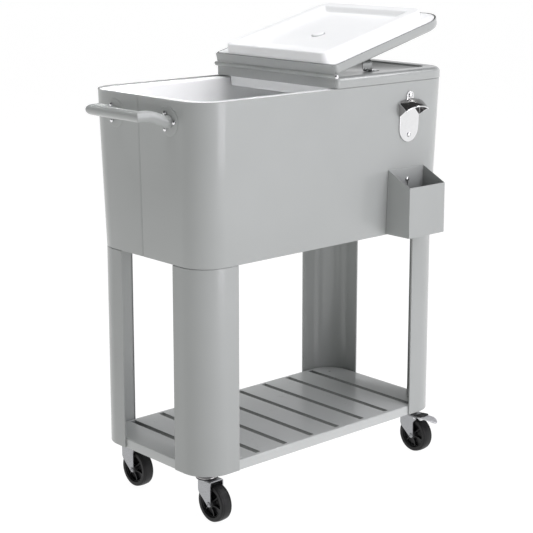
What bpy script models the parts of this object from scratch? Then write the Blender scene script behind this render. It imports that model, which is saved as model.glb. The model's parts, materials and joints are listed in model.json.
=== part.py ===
"""Rolling patio cooler: an insulated steel tank on four sheet legs with a slotted shelf, swivel casters,
a pair of hinged lids (the left one folded open onto the right one), end handles, a wall bottle opener and
a cap catcher.

Units are metres. +Z is up, +X runs along the tank towards the opener end, -Y is the front.
All heights are measured from the floor under the wheels.
"""
import math

import bmesh
import bpy
from mathutils import Matrix, Vector

MM = 0.001

# ---------------------------------------------------------------- tank
RIM_Z = 816 * MM            # top edge of the steel tank
TANK_LOW_Z = 503.3 * MM     # bottom edge of the steel tank
TOP_X, TOP_Y = 337.1 * MM, 178.6 * MM    # half length and half depth at the rim
LOW_X, LOW_Y = 330.6 * MM, 167.5 * MM    # half length and half depth at the bottom edge
CORNER_R = 60 * MM          # upright corner radius
SHEET = 1.0 * MM            # tank sheet
HEM_T, HEM_H = 2.6 * MM, 6 * MM          # folded top edge of the sheet
GAP = 0.35 * MM             # clearance between touching pieces
MOUTH = 25 * MM             # wall thickness at the mouth
LINER_T = 2.5 * MM
LINER_FLOOR_Z = 532 * MM
LINER_LOW_X, LINER_LOW_Y, LINER_LOW_R = 299 * MM, 141 * MM, 30 * MM

# ---------------------------------------------------------------- legs and shelf
LEG_LOW_Z, LEG_TOP_Z = 96 * MM, 500.8 * MM
LEG_T = 1.2 * MM
LEG_WING_X, LEG_WING_Y = 90 * MM, 87 * MM
LEG_RETURN = 6 * MM
SHELF_Z = 115 * MM
SHELF_LIP_Z = 95 * MM
SHELF_INSET = 3.9 * MM
SLOT_PITCH, SLOT_W, SLOT_HALF = 72.8 * MM, 10.5 * MM, 155 * MM

# ---------------------------------------------------------------- casters
STEM_X, STEM_Y = 286 * MM, 122.6 * MM
TRAIL = 24.5 * MM
WHEEL_R, WHEEL_W = 37.5 * MM, 24 * MM
FORK_IN, FORK_T = 14.6 * MM, 2.0 * MM    # half gap between the fork plates, and their thickness
PEDAL_Y, PEDAL_Z = -33.5 * MM, 78.2 * MM  # pedal pivot, measured from the stem

# ---------------------------------------------------------------- lids
LID_H = 22 * MM             # lid top above the rim
LID_OVER = 1.0 * MM         # lid skirt stands this far outside the tank
LID_FACE = 1.65 * MM        # hinge-side skirt face, from the hinge axis
LID_EDGE_R = 10 * MM
HINGE_Z = RIM_Z + 24 * MM
OPEN_DEG = 165.6            # the left lid folds back this far, until the two handles meet
BARREL_R, ROD_R = 4.5 * MM, 2.5 * MM
KNUCKLES = 7
RECESS_IN, RECESS_D = 37 * MM, 3 * MM
BLOCK_IN, BLOCK_HINGE_IN, BLOCK_D = 30 * MM, 5 * MM, 20 * MM

# ---------------------------------------------------------------- handles and fittings
FLANGE_Y, FLANGE_Z = 82.7 * MM, RIM_Z - 41 * MM
FLANGE_R, BOLT_CIRCLE = 27.5 * MM, 17.5 * MM
TUBE_R = 10.5 * MM
REACH, RISE = 60 * MM, 13 * MM
STRAP_X, STRAP_W, STRAP_T = 162 * MM, 26 * MM, 2.5 * MM
STRAP_Y, STRAP_FOOT, STRAP_H = 105 * MM, 24 * MM, 23.6 * MM
OPENER_X = 211.5 * MM
CATCHER_X0, CATCHER_X1 = 157.5 * MM, 263 * MM
CATCHER_FRONT_Y = -233 * MM
CATCHER_LOW_Z, CATCHER_BACK_Z, CATCHER_FRONT_Z = 505 * MM, 638.5 * MM, 608.5 * MM
CATCHER_SCREW = (213.6 * MM, 614 * MM)
DRAIN_Z = 556.5 * MM

# the frame's origin is under the middle of the whole outline
BACK_Y = TOP_Y + LID_OVER + 0.35 * MM + 4.0 * MM
ORIGIN_Y = (BACK_Y + CATCHER_FRONT_Y) / 2

GREY = (0.50, 0.52, 0.51)
WHITE = (0.88, 0.88, 0.88)
STEEL = (0.72, 0.72, 0.74)
BLACK = (0.02, 0.02, 0.022)
FOAM = (0.85, 0.80, 0.55)

for old in list(bpy.data.objects):
    bpy.data.objects.remove(old, do_unlink=True)

SCENE = bpy.context.scene.collection


# ================================================================ helpers
def material(name, rgb, rough, metal):
    m = bpy.data.materials.new(name)
    m.use_nodes = True
    p = m.node_tree.nodes["Principled BSDF"]
    p.inputs["Base Color"].default_value = (*rgb, 1.0)
    p.inputs["Roughness"].default_value = rough
    p.inputs["Metallic"].default_value = metal
    return m


PAINT = (GREY, 0.38, 0.1)
PLASTIC = (WHITE, 0.3, 0.0)
CHROME = (STEEL, 0.12, 1.0)
ZINC = (STEEL, 0.35, 1.0)
RUBBER = (BLACK, 0.55, 0.0)
RIGID_FOAM = (FOAM, 0.9, 0.0)


def to_object(name, bm, look=PAINT, smooth=30):
    bmesh.ops.recalc_face_normals(bm, faces=bm.faces)
    me = bpy.data.meshes.new(name)
    bm.to_mesh(me)
    bm.free()
    me.shade_smooth()
    me.set_sharp_from_angle(angle=math.radians(smooth))
    ob = bpy.data.objects.new(name, me)
    SCENE.objects.link(ob)
    ob.data.materials.append(material(name, *look))
    return ob


def stack(name, rings, look=PAINT):
    """A closed body through rings of equal count, capped at both ends."""
    bm = bmesh.new()
    rows = [[bm.verts.new(p) for p in r] for r in rings]
    n = len(rows[0])
    for a, b in zip(rows, rows[1:]):
        for i in range(n):
            j = (i + 1) % n
            bm.faces.new((a[i], a[j], b[j], b[i]))
    bm.faces.new(rows[0])
    bm.faces.new(list(reversed(rows[-1])))
    return to_object(name, bm, look)


def rrect(x0, x1, y0, y1, r0, r1, n=5):
    """Anticlockwise outline; r0 rounds the two corners at x0, r1 the two at x1."""
    pts = []
    for cx, cy, r, start in ((x1, y1, r1, 0), (x0, y1, r0, 90), (x0, y0, r0, 180), (x1, y0, r1, 270)):
        sx = -1 if cx == x1 else 1
        sy = -1 if cy == y1 else 1
        ox, oy = cx + sx * r, cy + sy * r
        for k in range(n + 1):
            t = math.radians(start + 90 * k / n)
            pts.append((ox + r * math.cos(t), oy + r * math.sin(t)))
    return pts


def at(outline, z):
    return [(x, y, z) for x, y in outline]


def circle(r, n, cx=0.0, cy=0.0, turn=0.5):
    return [(cx + r * math.cos(2 * math.pi * (k + turn) / n), cy + r * math.sin(2 * math.pi * (k + turn) / n))
            for k in range(n)]


def lathe(name, profile, n=20, look=ZINC, axis="Z"):
    """profile: (radius, distance along the axis), no point on the axis."""
    rings = []
    for r, h in profile:
        ring = circle(r, n)
        if axis == "Z":
            rings.append([(x, y, h) for x, y in ring])
        elif axis == "X":
            rings.append([(h, x, y) for x, y in ring])
        else:
            rings.append([(y, h, x) for x, y in ring])
    return stack(name, rings, look)


def lathe_ring(name, profile, n=20, look=ZINC, axis="Z", turn=0.5):
    """A turned ring with a hole: profile is a closed loop of (radius, distance along the axis)."""
    bm = bmesh.new()
    rows = []
    for r, h in profile:
        row = []
        for x, y in circle(r, n, 0, 0, turn):
            p = (x, y, h) if axis == "Z" else ((h, x, y) if axis == "X" else (y, h, x))
            row.append(bm.verts.new(p))
        rows.append(row)
    for k, a in enumerate(rows):
        b = rows[(k + 1) % len(rows)]
        for i in range(n):
            j = (i + 1) % n
            bm.faces.new((a[i], a[j], b[j], b[i]))
    return to_object(name, bm, look)


def prism(name, outline, lo, hi, plane="XY", look=PAINT):
    def put(u, v, w):
        if plane == "XY":
            return (u, v, w)
        if plane == "YZ":
            return (w, u, v)
        return (u, w, v)
    return stack(name, [[put(u, v, lo) for u, v in outline], [put(u, v, hi) for u, v in outline]], look)


def box(name, x0, x1, y0, y1, z0, z1, look=PAINT):
    return prism(name, [(x0, y0), (x1, y0), (x1, y1), (x0, y1)], z0, z1, "XY", look)


def with_normals(path):
    """Path points with mitred normals on the left-hand side of travel."""
    out = []
    n = len(path)
    for i, p in enumerate(path):
        def unit(a, b):
            d = math.hypot(b[0] - a[0], b[1] - a[1])
            return ((b[0] - a[0]) / d, (b[1] - a[1]) / d)
        t0 = unit(path[i - 1], p) if i else unit(p, path[1])
        t1 = unit(p, path[i + 1]) if i < n - 1 else t0
        n0, n1 = (-t0[1], t0[0]), (-t1[1], t1[0])
        k = 1 + n0[0] * n1[0] + n0[1] * n1[1]
        out.append((p[0], p[1], (n0[0] + n1[0]) / k, (n0[1] + n1[1]) / k))
    return out


def sweep(name, path_at, profile, look=PAINT):
    """A closed profile of (distance inwards, z) carried along the open path that path_at(z) gives."""
    bm = bmesh.new()
    rows = []
    for d, z in profile:
        rows.append([bm.verts.new((x + nx * d, y + ny * d, z)) for x, y, nx, ny in with_normals(path_at(z))])
    n = len(rows[0])
    for k, a in enumerate(rows):
        b = rows[(k + 1) % len(rows)]
        for i in range(n - 1):
            bm.faces.new((a[i], a[i + 1], b[i + 1], b[i]))
    bm.faces.new([r[0] for r in rows])
    bm.faces.new([r[-1] for r in reversed(rows)])
    return to_object(name, bm, look)


def strap(name, path, t, lo, hi, look=CHROME):
    """A bent strip: path in the YZ plane, thickness t, running from x = lo to x = hi."""
    st = with_normals(path)
    bm = bmesh.new()
    rows = []
    for side, x in ((0.5, lo), (0.5, hi), (-0.5, hi), (-0.5, lo)):
        rows.append([bm.verts.new((x, u + nu * t * side, v + nv * t * side)) for u, v, nu, nv in st])
    n = len(rows[0])
    for k, a in enumerate(rows):
        b = rows[(k + 1) % 4]
        for i in range(n - 1):
            bm.faces.new((a[i], a[i + 1], b[i + 1], b[i]))
    bm.faces.new([r[0] for r in rows])
    bm.faces.new([r[-1] for r in reversed(rows)])
    return to_object(name, bm, look)


def tube(name, path, radii, n=16, look=PAINT):
    """A round bar along a path in space."""
    pts = [Vector(p) for p in path]
    rings = []
    up = Vector((0, 0, 1))
    for i, p in enumerate(pts):
        t = (pts[min(i + 1, len(pts) - 1)] - pts[max(i - 1, 0)]).normalized()
        side = t.cross(up).normalized()
        top = side.cross(t).normalized()
        r = radii[i] if isinstance(radii, (list, tuple)) else radii
        rings.append([tuple(p + side * (r * math.cos(2 * math.pi * k / n)) + top * (r * math.sin(2 * math.pi * k / n)))
                      for k in range(n)])
    return stack(name, rings, look)


def arc(cx, cy, r, a0, a1, n):
    return [(cx + r * math.cos(math.radians(a0 + (a1 - a0) * k / n)),
             cy + r * math.sin(math.radians(a0 + (a1 - a0) * k / n))) for k in range(n + 1)]


def boolean(ob, other, operation):
    other.hide_render = True
    other.display_type = "WIRE"
    m = ob.modifiers.new(operation.lower(), "BOOLEAN")
    m.operation = operation
    m.solver = "EXACT"
    m.object = other
    return other


def settle(ob, *tools, smooth=30):
    """Keep the evaluated shape of ob, and drop the shapes that made it."""
    bpy.context.view_layer.update()
    seen = ob.evaluated_get(bpy.context.evaluated_depsgraph_get())
    me = bpy.data.meshes.new_from_object(seen)
    look = list(ob.data.materials)
    ob.modifiers.clear()
    ob.data = me
    me.materials.clear()
    me.materials.append(look[0])
    me.polygons.foreach_set("material_index", [0] * len(me.polygons))
    me.shade_smooth()
    me.set_sharp_from_angle(angle=math.radians(smooth))
    me.name = ob.name
    for t in tools:
        bpy.data.objects.remove(t, do_unlink=True)
    return ob


def united(ob, *others):
    for o in others:
        boolean(ob, o, "UNION")
        settle(ob, o)
    return ob


def cut(ob, *others):
    for o in others:
        boolean(ob, o, "DIFFERENCE")
        settle(ob, o)
    return ob


def copy_of(ob, name, look=None):
    new = bpy.data.objects.new(name, ob.data.copy())
    new.data.materials.clear()
    new.data.materials.append(material(name, *(look or PAINT)))
    new.data.name = name
    SCENE.objects.link(new)
    return new


def transform(ob, m):
    ob.data.transform(m)
    if m.determinant() < 0:
        ob.data.flip_normals()
    return ob


# ================================================================ tank geometry
def share(z):
    return (z - TANK_LOW_Z) / (RIM_Z - TANK_LOW_Z)


def half_x(z):
    return LOW_X + (TOP_X - LOW_X) * share(z)


def half_y(z):
    return LOW_Y + (TOP_Y - LOW_Y) * share(z)


def tank_outline(z, d=0.0, n=6):
    """The tank's outline at height z, d inside its outer face."""
    a, b, r = half_x(z) - d, half_y(z) - d, CORNER_R - d
    return rrect(-a, a, -b, b, r, r, n)


END_TILT = math.atan2(TOP_X - LOW_X, RIM_Z - TANK_LOW_Z)
FRONT_TILT = math.atan2(TOP_Y - LOW_Y, RIM_Z - TANK_LOW_Z)


def end_wall(side, y, z):
    """Frame on an end wall: local +X leaves the wall, local +Z climbs it. side is -1 (left) or +1 (right)."""
    m = Matrix.Translation((side * half_x(z), y, z))
    if side < 0:
        m = m @ Matrix.Rotation(math.pi, 4, "Z")
    return m @ Matrix.Rotation(END_TILT, 4, "Y")


def front_wall(x, z):
    """Frame on the front wall: local -Y leaves the wall, local +Z climbs it."""
    return Matrix.Translation((x, -half_y(z), z)) @ Matrix.Rotation(FRONT_TILT, 4, "X")


def shell_path(front, lap):
    def path(z):
        a, b, r = half_x(z), half_y(z), CORNER_R
        s = -1 if front else 1
        corner_l = arc(-a + r, s * (b - r), r, 180, 180 + 90 if front else 180 - 90, 6)
        corner_r = arc(a - r, s * (b - r), r, -90 if front else 90, 0, 6)
        j = 1.4 * MM if lap else 0.0
        if front:
            pts = [(-a, 7.5 * MM)] + corner_l + corner_r + [(a, 7.5 * MM)]
        else:
            pts = [(-a + j, -8 * MM), (-a + j, 9 * MM), (-a, 13 * MM)] + corner_l + corner_r
            pts += [(a, 13 * MM), (a - j, 9 * MM), (a - j, -8 * MM)]
            pts.reverse()
        return pts
    return path


def wall_profile():
    return [(0, TANK_LOW_Z), (0, RIM_Z), (HEM_T, RIM_Z), (HEM_T, RIM_Z - HEM_H),
            (SHEET, RIM_Z - HEM_H), (SHEET, TANK_LOW_Z)]


def lap_profile():
    """Plain sheet without the hem, for the half that is joggled under the other."""
    return [(0, TANK_LOW_Z), (0, RIM_Z), (SHEET, RIM_Z), (SHEET, TANK_LOW_Z)]


shell_front = sweep("shell_front", shell_path(True, False), wall_profile())
shell_back = sweep("shell_back", shell_path(False, True), lap_profile())
# the hem stops short of the lap, so the joggled edge can lie inside it
for side in (-1, 1):
    x0, x1 = sorted((side * (TOP_X - SHEET - 0.05 * MM), side * (TOP_X - 12 * MM)))
    cut(shell_front, box("hem_relief", x0, x1, -14 * MM, 20 * MM, RIM_Z - HEM_H - 2 * MM, RIM_Z + 2 * MM))

# studs, screws and the drain pass through the wall
for side in (-1, 1):
    for fy in (-FLANGE_Y, FLANGE_Y):
        for k in range(3):
            ang = math.radians(180 + 120 * k)
            hole = lathe("stud_hole", [(2.9 * MM, -8 * MM), (2.9 * MM, 8 * MM)], 8, axis="X")
            transform(hole, end_wall(side, fy, FLANGE_Z)
                      @ Matrix.Translation((0, (1 if side > 0 else -1) * BOLT_CIRCLE * math.cos(ang),
                                            BOLT_CIRCLE * math.sin(ang))))
            cut(shell_front if fy < 0 else shell_back, hole)

bottom_pan = stack("bottom_pan", [
    at(tank_outline(TANK_LOW_Z, 2.4 * MM + GAP), TANK_LOW_Z + 0.4 * MM),
    at(tank_outline(TANK_LOW_Z + 13 * MM, 2.4 * MM + GAP + 0.25 * MM), TANK_LOW_Z + 13 * MM),
    at(tank_outline(TANK_LOW_Z + 13 * MM, 2.4 * MM + GAP + 1.4 * MM), TANK_LOW_Z + 13 * MM),
    at(tank_outline(TANK_LOW_Z, 2.4 * MM + GAP + 1.3 * MM), TANK_LOW_Z + 1.6 * MM)])


def liner_outline(z, d=0.0):
    """Inner face of the liner at height z; positive d is inside the tank, negative d is in the wall."""
    f = (z - LINER_FLOOR_Z) / (RIM_Z - LINER_FLOOR_Z)
    a = LINER_LOW_X + (TOP_X - MOUTH - LINER_LOW_X) * f - d
    b = LINER_LOW_Y + (TOP_Y - MOUTH - LINER_LOW_Y) * f - d
    r = LINER_LOW_R + (CORNER_R - MOUTH - LINER_LOW_R) * f - d
    return rrect(-a, a, -b, b, r, r, 6)


LIP_Z = RIM_Z - 0.5 * MM
tank_liner = stack("tank_liner", [
    at(liner_outline(LINER_FLOOR_Z, 8 * MM), LINER_FLOOR_Z),
    at(liner_outline(LINER_FLOOR_Z, 2.3 * MM), LINER_FLOOR_Z + 2.3 * MM),
    at(liner_outline(LINER_FLOOR_Z, 0), LINER_FLOOR_Z + 8 * MM),
    at(liner_outline(RIM_Z - 4 * MM, 0), RIM_Z - 4 * MM),
    at(liner_outline(RIM_Z - 1.2 * MM, -1.2 * MM), RIM_Z - 1.2 * MM),
    at(liner_outline(RIM_Z, -4 * MM), LIP_Z),
    at(tank_outline(RIM_Z, HEM_T + GAP), LIP_Z),
    at(tank_outline(RIM_Z, HEM_T + GAP), LIP_Z - LINER_T),
    at(liner_outline(RIM_Z, -6 * MM), LIP_Z - LINER_T),
    at(liner_outline(RIM_Z - 6 * MM, -LINER_T), RIM_Z - 6 * MM),
    at(liner_outline(LINER_FLOOR_Z + 6 * MM, -LINER_T), LINER_FLOOR_Z + 6 * MM),
    at(liner_outline(LINER_FLOOR_Z, 0.5 * MM), LINER_FLOOR_Z - 1 * MM),
    at(liner_outline(LINER_FLOOR_Z, 7 * MM), LINER_FLOOR_Z - LINER_T)], PLASTIC)

FOAM_TOP = LIP_Z - LINER_T - 0.4 * MM
FOAM_LOW = TANK_LOW_Z + 2.1 * MM
tank_foam = stack("tank_foam", [
    at(liner_outline(LINER_FLOOR_Z, 8 * MM), LINER_FLOOR_Z - LINER_T - 0.5 * MM),
    at(liner_outline(LINER_FLOOR_Z, 0), LINER_FLOOR_Z - 1.7 * MM),
    at(liner_outline(LINER_FLOOR_Z, -LINER_T - 0.6 * MM), LINER_FLOOR_Z + 6 * MM),
    at(liner_outline(RIM_Z - 6 * MM, -LINER_T - 0.5 * MM), RIM_Z - 6 * MM),
    at(liner_outline(RIM_Z - 4 * MM, -7 * MM), FOAM_TOP),
    at(tank_outline(FOAM_TOP, 4.6 * MM), FOAM_TOP),
    at(tank_outline(FOAM_LOW, 4.6 * MM), FOAM_LOW)], RIGID_FOAM)

# ================================================================ drain, low on the right end
WALL_IN = LINER_LOW_X + (TOP_X - MOUTH - LINER_LOW_X) * (DRAIN_Z - LINER_FLOOR_Z) / (RIM_Z - LINER_FLOOR_Z)
WALL_OUT = half_x(DRAIN_Z)


def drain_tool(name, r, x0, x1, n=20):
    ob = lathe(name, [(r, x0), (r, x1)], n, axis="X")
    return transform(ob, Matrix.Translation((0, 0, DRAIN_Z)))


# the end wall's seam lies over the drain's axis, so both halves are cut
cut(shell_front, drain_tool("drain_hole_a", 12.4 * MM, WALL_OUT - 10 * MM, WALL_OUT + 10 * MM))
cut(shell_back, drain_tool("drain_hole_b", 12.4 * MM, WALL_OUT - 10 * MM, WALL_OUT + 10 * MM))
cut(tank_foam, drain_tool("drain_hole_c", 12.6 * MM, WALL_IN - 10 * MM, WALL_OUT + 10 * MM))
cut(tank_liner, drain_tool("drain_hole_d", 12.4 * MM, WALL_IN - 6 * MM, WALL_IN + 8 * MM))

SPOUT_END = WALL_OUT + 15 * MM
drain_spout = lathe_ring("drain_spout", [
    (8 * MM, WALL_IN - 4.2 * MM), (15 * MM, WALL_IN - 4.2 * MM), (15 * MM, WALL_IN - 1.6 * MM),
    (12 * MM, WALL_IN - 1.6 * MM), (12 * MM, SPOUT_END), (8 * MM, SPOUT_END)], 24, PLASTIC, "X")
transform(drain_spout, Matrix.Translation((0, 0, DRAIN_Z)))
drain_gasket = lathe_ring("drain_gasket", [
    (12.5 * MM, WALL_OUT + 0.8 * MM), (17 * MM, WALL_OUT + 0.8 * MM), (17 * MM, WALL_OUT + 2.4 * MM),
    (12.5 * MM, WALL_OUT + 2.4 * MM)], 24, RUBBER, "X")
transform(drain_gasket, Matrix.Translation((0, 0, DRAIN_Z)))
drain_nut = lathe_ring("drain_nut", [
    (12.5 * MM, WALL_OUT + 2.8 * MM), (19 * MM, WALL_OUT + 2.8 * MM), (19 * MM, WALL_OUT + 7.2 * MM),
    (12.5 * MM, WALL_OUT + 7.2 * MM)], 24, PLASTIC, "X")
transform(drain_nut, Matrix.Translation((0, 0, DRAIN_Z)))
drain_cap = stack("drain_cap", [
    [(WALL_OUT + h, x, y) for x, y in circle(r, 24)] for r, h in (
        (12.5 * MM, 15.5 * MM), (12.5 * MM, 7.7 * MM), (15.6 * MM, 7.7 * MM), (16 * MM, 8.4 * MM),
        (16 * MM, 17 * MM), (14.6 * MM, 18.4 * MM))], PLASTIC)
transform(drain_cap, Matrix.Translation((-WALL_OUT, 0, 0)))
drain_cap.location = (WALL_OUT, 0, DRAIN_Z)

# ================================================================ legs
def leg_path(z):
    r = CORNER_R
    return [(-LOW_X, -LOW_Y + LEG_WING_Y)] + arc(-LOW_X + r, -LOW_Y + r, r, 180, 270, 8) + [(-LOW_X + LEG_WING_X, -LOW_Y)]


leg = sweep("leg", leg_path, [
    (0, LEG_LOW_Z), (0, LEG_TOP_Z), (0.8 * MM, LEG_TOP_Z + 1.7 * MM), (2.5 * MM, LEG_TOP_Z + 2.4 * MM),
    (12 * MM, LEG_TOP_Z + 2.4 * MM), (12 * MM, LEG_TOP_Z + 1.2 * MM), (3 * MM, LEG_TOP_Z + 1.2 * MM),
    (LEG_T, LEG_TOP_Z - 0.8 * MM), (LEG_T, LEG_LOW_Z)])
e = 0.05 * MM
united(leg,
       box("return_x", -LOW_X + LEG_WING_X - LEG_T, -LOW_X + LEG_WING_X - e, -LOW_Y + 0.5 * MM,
           -LOW_Y + LEG_RETURN, SHELF_Z + 3 * MM, LEG_TOP_Z - 2 * MM),
       box("return_y", -LOW_X + 0.5 * MM, -LOW_X + LEG_RETURN, -LOW_Y + LEG_WING_Y - LEG_T,
           -LOW_Y + LEG_WING_Y - e, SHELF_Z + 3 * MM, LEG_TOP_Z - 2 * MM))
CORNERS = {"front_left": (-1, -1), "back_left": (-1, 1), "front_right": (1, -1), "back_right": (1, 1)}
for place, (sx, sy) in CORNERS.items():
    one = copy_of(leg, "leg_" + place)
    transform(one, Matrix.Diagonal((-sx, -sy, 1, 1)))
bpy.data.objects.remove(leg, do_unlink=True)


# ================================================================ shelf
def shelf_outline(d):
    a, b, r = LOW_X - SHELF_INSET - d, LOW_Y - SHELF_INSET - d, CORNER_R - SHELF_INSET - d
    return rrect(-a, a, -b, b, r, r, 8)


shelf = stack("shelf", [
    at(shelf_outline(3 * MM), SHELF_Z - 1.2 * MM), at(shelf_outline(1.2 * MM), SHELF_Z - 3 * MM),
    at(shelf_outline(1.2 * MM), SHELF_LIP_Z), at(shelf_outline(0), SHELF_LIP_Z),
    at(shelf_outline(0), SHELF_Z - 2.5 * MM), at(shelf_outline(0.8 * MM), SHELF_Z - 0.8 * MM),
    at(shelf_outline(2.6 * MM), SHELF_Z)])
for k in range(8):
    x = (k - 3.5) * SLOT_PITCH
    outline = rrect(x - SLOT_W / 2, x + SLOT_W / 2, -SLOT_HALF, SLOT_HALF, 3 * MM, 3 * MM, 2)
    cut(shelf, prism("slot", outline, SHELF_Z - 4 * MM, SHELF_Z + 4 * MM))

# ================================================================ caster plates under the shelf corners
plate_outline = [(-LOW_X + SHELF_INSET + 1.6 * MM, -LOW_Y + 84 * MM)]
pr = CORNER_R - SHELF_INSET - 1.6 * MM
plate_outline += arc(-LOW_X + CORNER_R, -LOW_Y + CORNER_R, pr, 180, 270, 7)
plate_outline += [(-LOW_X + 86 * MM, -LOW_Y + SHELF_INSET + 1.6 * MM), (-LOW_X + 86 * MM, -LOW_Y + 30 * MM),
                  (-LOW_X + 30 * MM, -LOW_Y + 84 * MM)]
plate = prism("plate", plate_outline, SHELF_LIP_Z + 0.4 * MM, SHELF_LIP_Z + 3.4 * MM)
stem_hole = lathe("stem_hole", [(5.4 * MM, 90 * MM), (5.4 * MM, 105 * MM)], 16)
transform(stem_hole, Matrix.Translation((-STEM_X, -STEM_Y, 0)))
cut(plate, stem_hole)
for place, (sx, sy) in CORNERS.items():
    one = copy_of(plate, "caster_plate_" + place, ZINC)
    transform(one, Matrix.Diagonal((-sx, -sy, 1, 1)))
bpy.data.objects.remove(plate, do_unlink=True)

# ================================================================ casters
stem = lathe("stem", [
    (8 * MM, 77.6 * MM), (8 * MM, 80 * MM), (5 * MM, 80 * MM), (5 * MM, 83.5 * MM),
    (20.5 * MM, 83.6 * MM), (22 * MM, 85 * MM), (22 * MM, 87.4 * MM), (19 * MM, 89.4 * MM), (9.5 * MM, 90.4 * MM),
    (9.5 * MM, 95 * MM), (5 * MM, 95 * MM), (5 * MM, 109.5 * MM)], 18)


def fork_mesh(name, braked):
    o, i, t = FORK_IN + FORK_T, FORK_IN, FORK_T
    z1, z0 = 83 * MM, 30 * MM
    r = 3.5 * MM
    outer = [(-o, z0)] + [(-o + r - r * math.cos(math.radians(a)), z1 - r + r * math.sin(math.radians(a))) for a in (0, 30, 60, 90)]
    outer += [(o - r + r * math.sin(math.radians(a)), z1 - r + r * math.cos(math.radians(a))) for a in (0, 30, 60, 90)]
    outer += [(o, z0)]
    q = r - t
    inner = [(i, z0)] + [(i - q + q * math.cos(math.radians(a)), z1 - t - q + q * math.sin(math.radians(a))) for a in (0, 45, 90)]
    inner += [(-i + q - q * math.sin(math.radians(a)), z1 - t - q + q * math.cos(math.radians(a))) for a in (0, 45, 90)]
    inner += [(-i, z0)]
    front = -29.8 * MM if not braked else -37.5 * MM
    fork = prism(name, outer + inner, front, 7 * MM, "XZ", ZINC)
    tip = arc(-TRAIL, WHEEL_R, 6 * MM, -180, -40, 6)
    keep = [(8 * MM, 90 * MM), (-45 * MM, 90 * MM)]
    low_front = -TRAIL - 5.4 * MM
    if braked:
        keep += [(-45 * MM, 74.5 * MM), (-36 * MM, 74.5 * MM), (low_front, 68 * MM)]
    else:
        keep += [(-45 * MM, 76 * MM), (-36 * MM, 70 * MM), (low_front, 66 * MM)]
    keep += [(low_front, WHEEL_R + 2 * MM)] + tip[1:] + [(4.5 * MM, 54 * MM), (6.9 * MM, 60 * MM), (8 * MM, 62 * MM)]
    boolean(fork, prism("fork_side", keep, -20 * MM, 20 * MM, "YZ"), "INTERSECT")
    settle(fork, bpy.data.objects["fork_side"])
    if braked:
        cut(fork, box("pedal_gap", -FORK_IN - 0.2 * MM, FORK_IN + 0.2 * MM, -45 * MM, -29.8 * MM, 70 * MM, 90 * MM))
    united(fork, lathe("fork_disc", [(21.5 * MM, 81.1 * MM), (21.5 * MM, 82.9 * MM)], 28))
    cut(fork, lathe("king_hole", [(5.5 * MM, 76 * MM), (5.5 * MM, 88 * MM)], 16))
    axle_hole = lathe("axle_hole", [(3.4 * MM, -25 * MM), (3.4 * MM, 25 * MM)], 12, axis="X")
    cut(fork, transform(axle_hole, Matrix.Translation((0, -TRAIL, WHEEL_R))))
    if braked:
        pin_hole = lathe("pin_hole", [(2.5 * MM, -25 * MM), (2.5 * MM, 25 * MM)], 12, axis="X")
        cut(fork, transform(pin_hole, Matrix.Translation((0, PEDAL_Y, PEDAL_Z))))
    return fork


fork_plain = fork_mesh("fork_plain", False)
fork_braked = fork_mesh("fork_braked", True)

wheel = lathe_ring("wheel", [
    (3.4 * MM, -14.2 * MM), (8.6 * MM, -14.2 * MM), (9.5 * MM, -6 * MM), (27 * MM, -6.5 * MM),
    (28.5 * MM, -12 * MM), (34 * MM, -11.8 * MM), (37.5 * MM, -7 * MM), (37.5 * MM, 7 * MM),
    (34 * MM, 11.8 * MM), (28.5 * MM, 12 * MM), (27 * MM, 6.5 * MM), (9.5 * MM, 6 * MM), (8.6 * MM, 14.2 * MM),
    (3.4 * MM, 14.2 * MM)], 24, RUBBER, "X", 0)

axle = lathe("axle", [
    (4.6 * MM, -21 * MM), (5.4 * MM, -20.2 * MM), (5.4 * MM, -17 * MM), (2.9 * MM, -17 * MM), (2.9 * MM, 17 * MM),
    (5.4 * MM, 17 * MM), (5.4 * MM, 20.2 * MM), (4.6 * MM, 21 * MM)], 12, CHROME, "X")


def pedal_mesh():
    """Foot lever in pivot coordinates: the lever runs towards -Y, the shoe hangs over the tread."""
    side = [(2.2 * MM, 2.6 * MM), (-2 * MM, 3.4 * MM), (-22 * MM, 4.6 * MM), (-38 * MM, 4.4 * MM), (-51 * MM, 0.2 * MM),
            (-51 * MM, -1.8 * MM), (-38 * MM, 2.2 * MM), (-22 * MM, 2.2 * MM), (-12.5 * MM, 0.6 * MM),
            (-12.5 * MM, -5.0 * MM), (-7 * MM, -4.0 * MM), (-4 * MM, -2.2 * MM), (-2.2 * MM, -2.2 * MM), (2.2 * MM, -1.6 * MM)]
    lever = prism("lever", side, -13.6 * MM, 13.6 * MM, "YZ", ZINC)
    trim = [(3 * MM, -13.7 * MM), (3 * MM, 13.7 * MM), (-36 * MM, 13.7 * MM), (-47 * MM, 10 * MM), (-52 * MM, 4 * MM),
            (-52 * MM, -4 * MM), (-47 * MM, -10 * MM), (-36 * MM, -13.7 * MM)]
    shape = prism("lever_plan", [(y, x) for x, y in trim], -10 * MM, 10 * MM)
    boolean(lever, shape, "INTERSECT")
    settle(lever, shape)
    united(lever, lathe("pin", [(2.0 * MM, -17.3 * MM), (2.0 * MM, 17.3 * MM)], 12, axis="X"))
    return lever


pedal = pedal_mesh()

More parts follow.
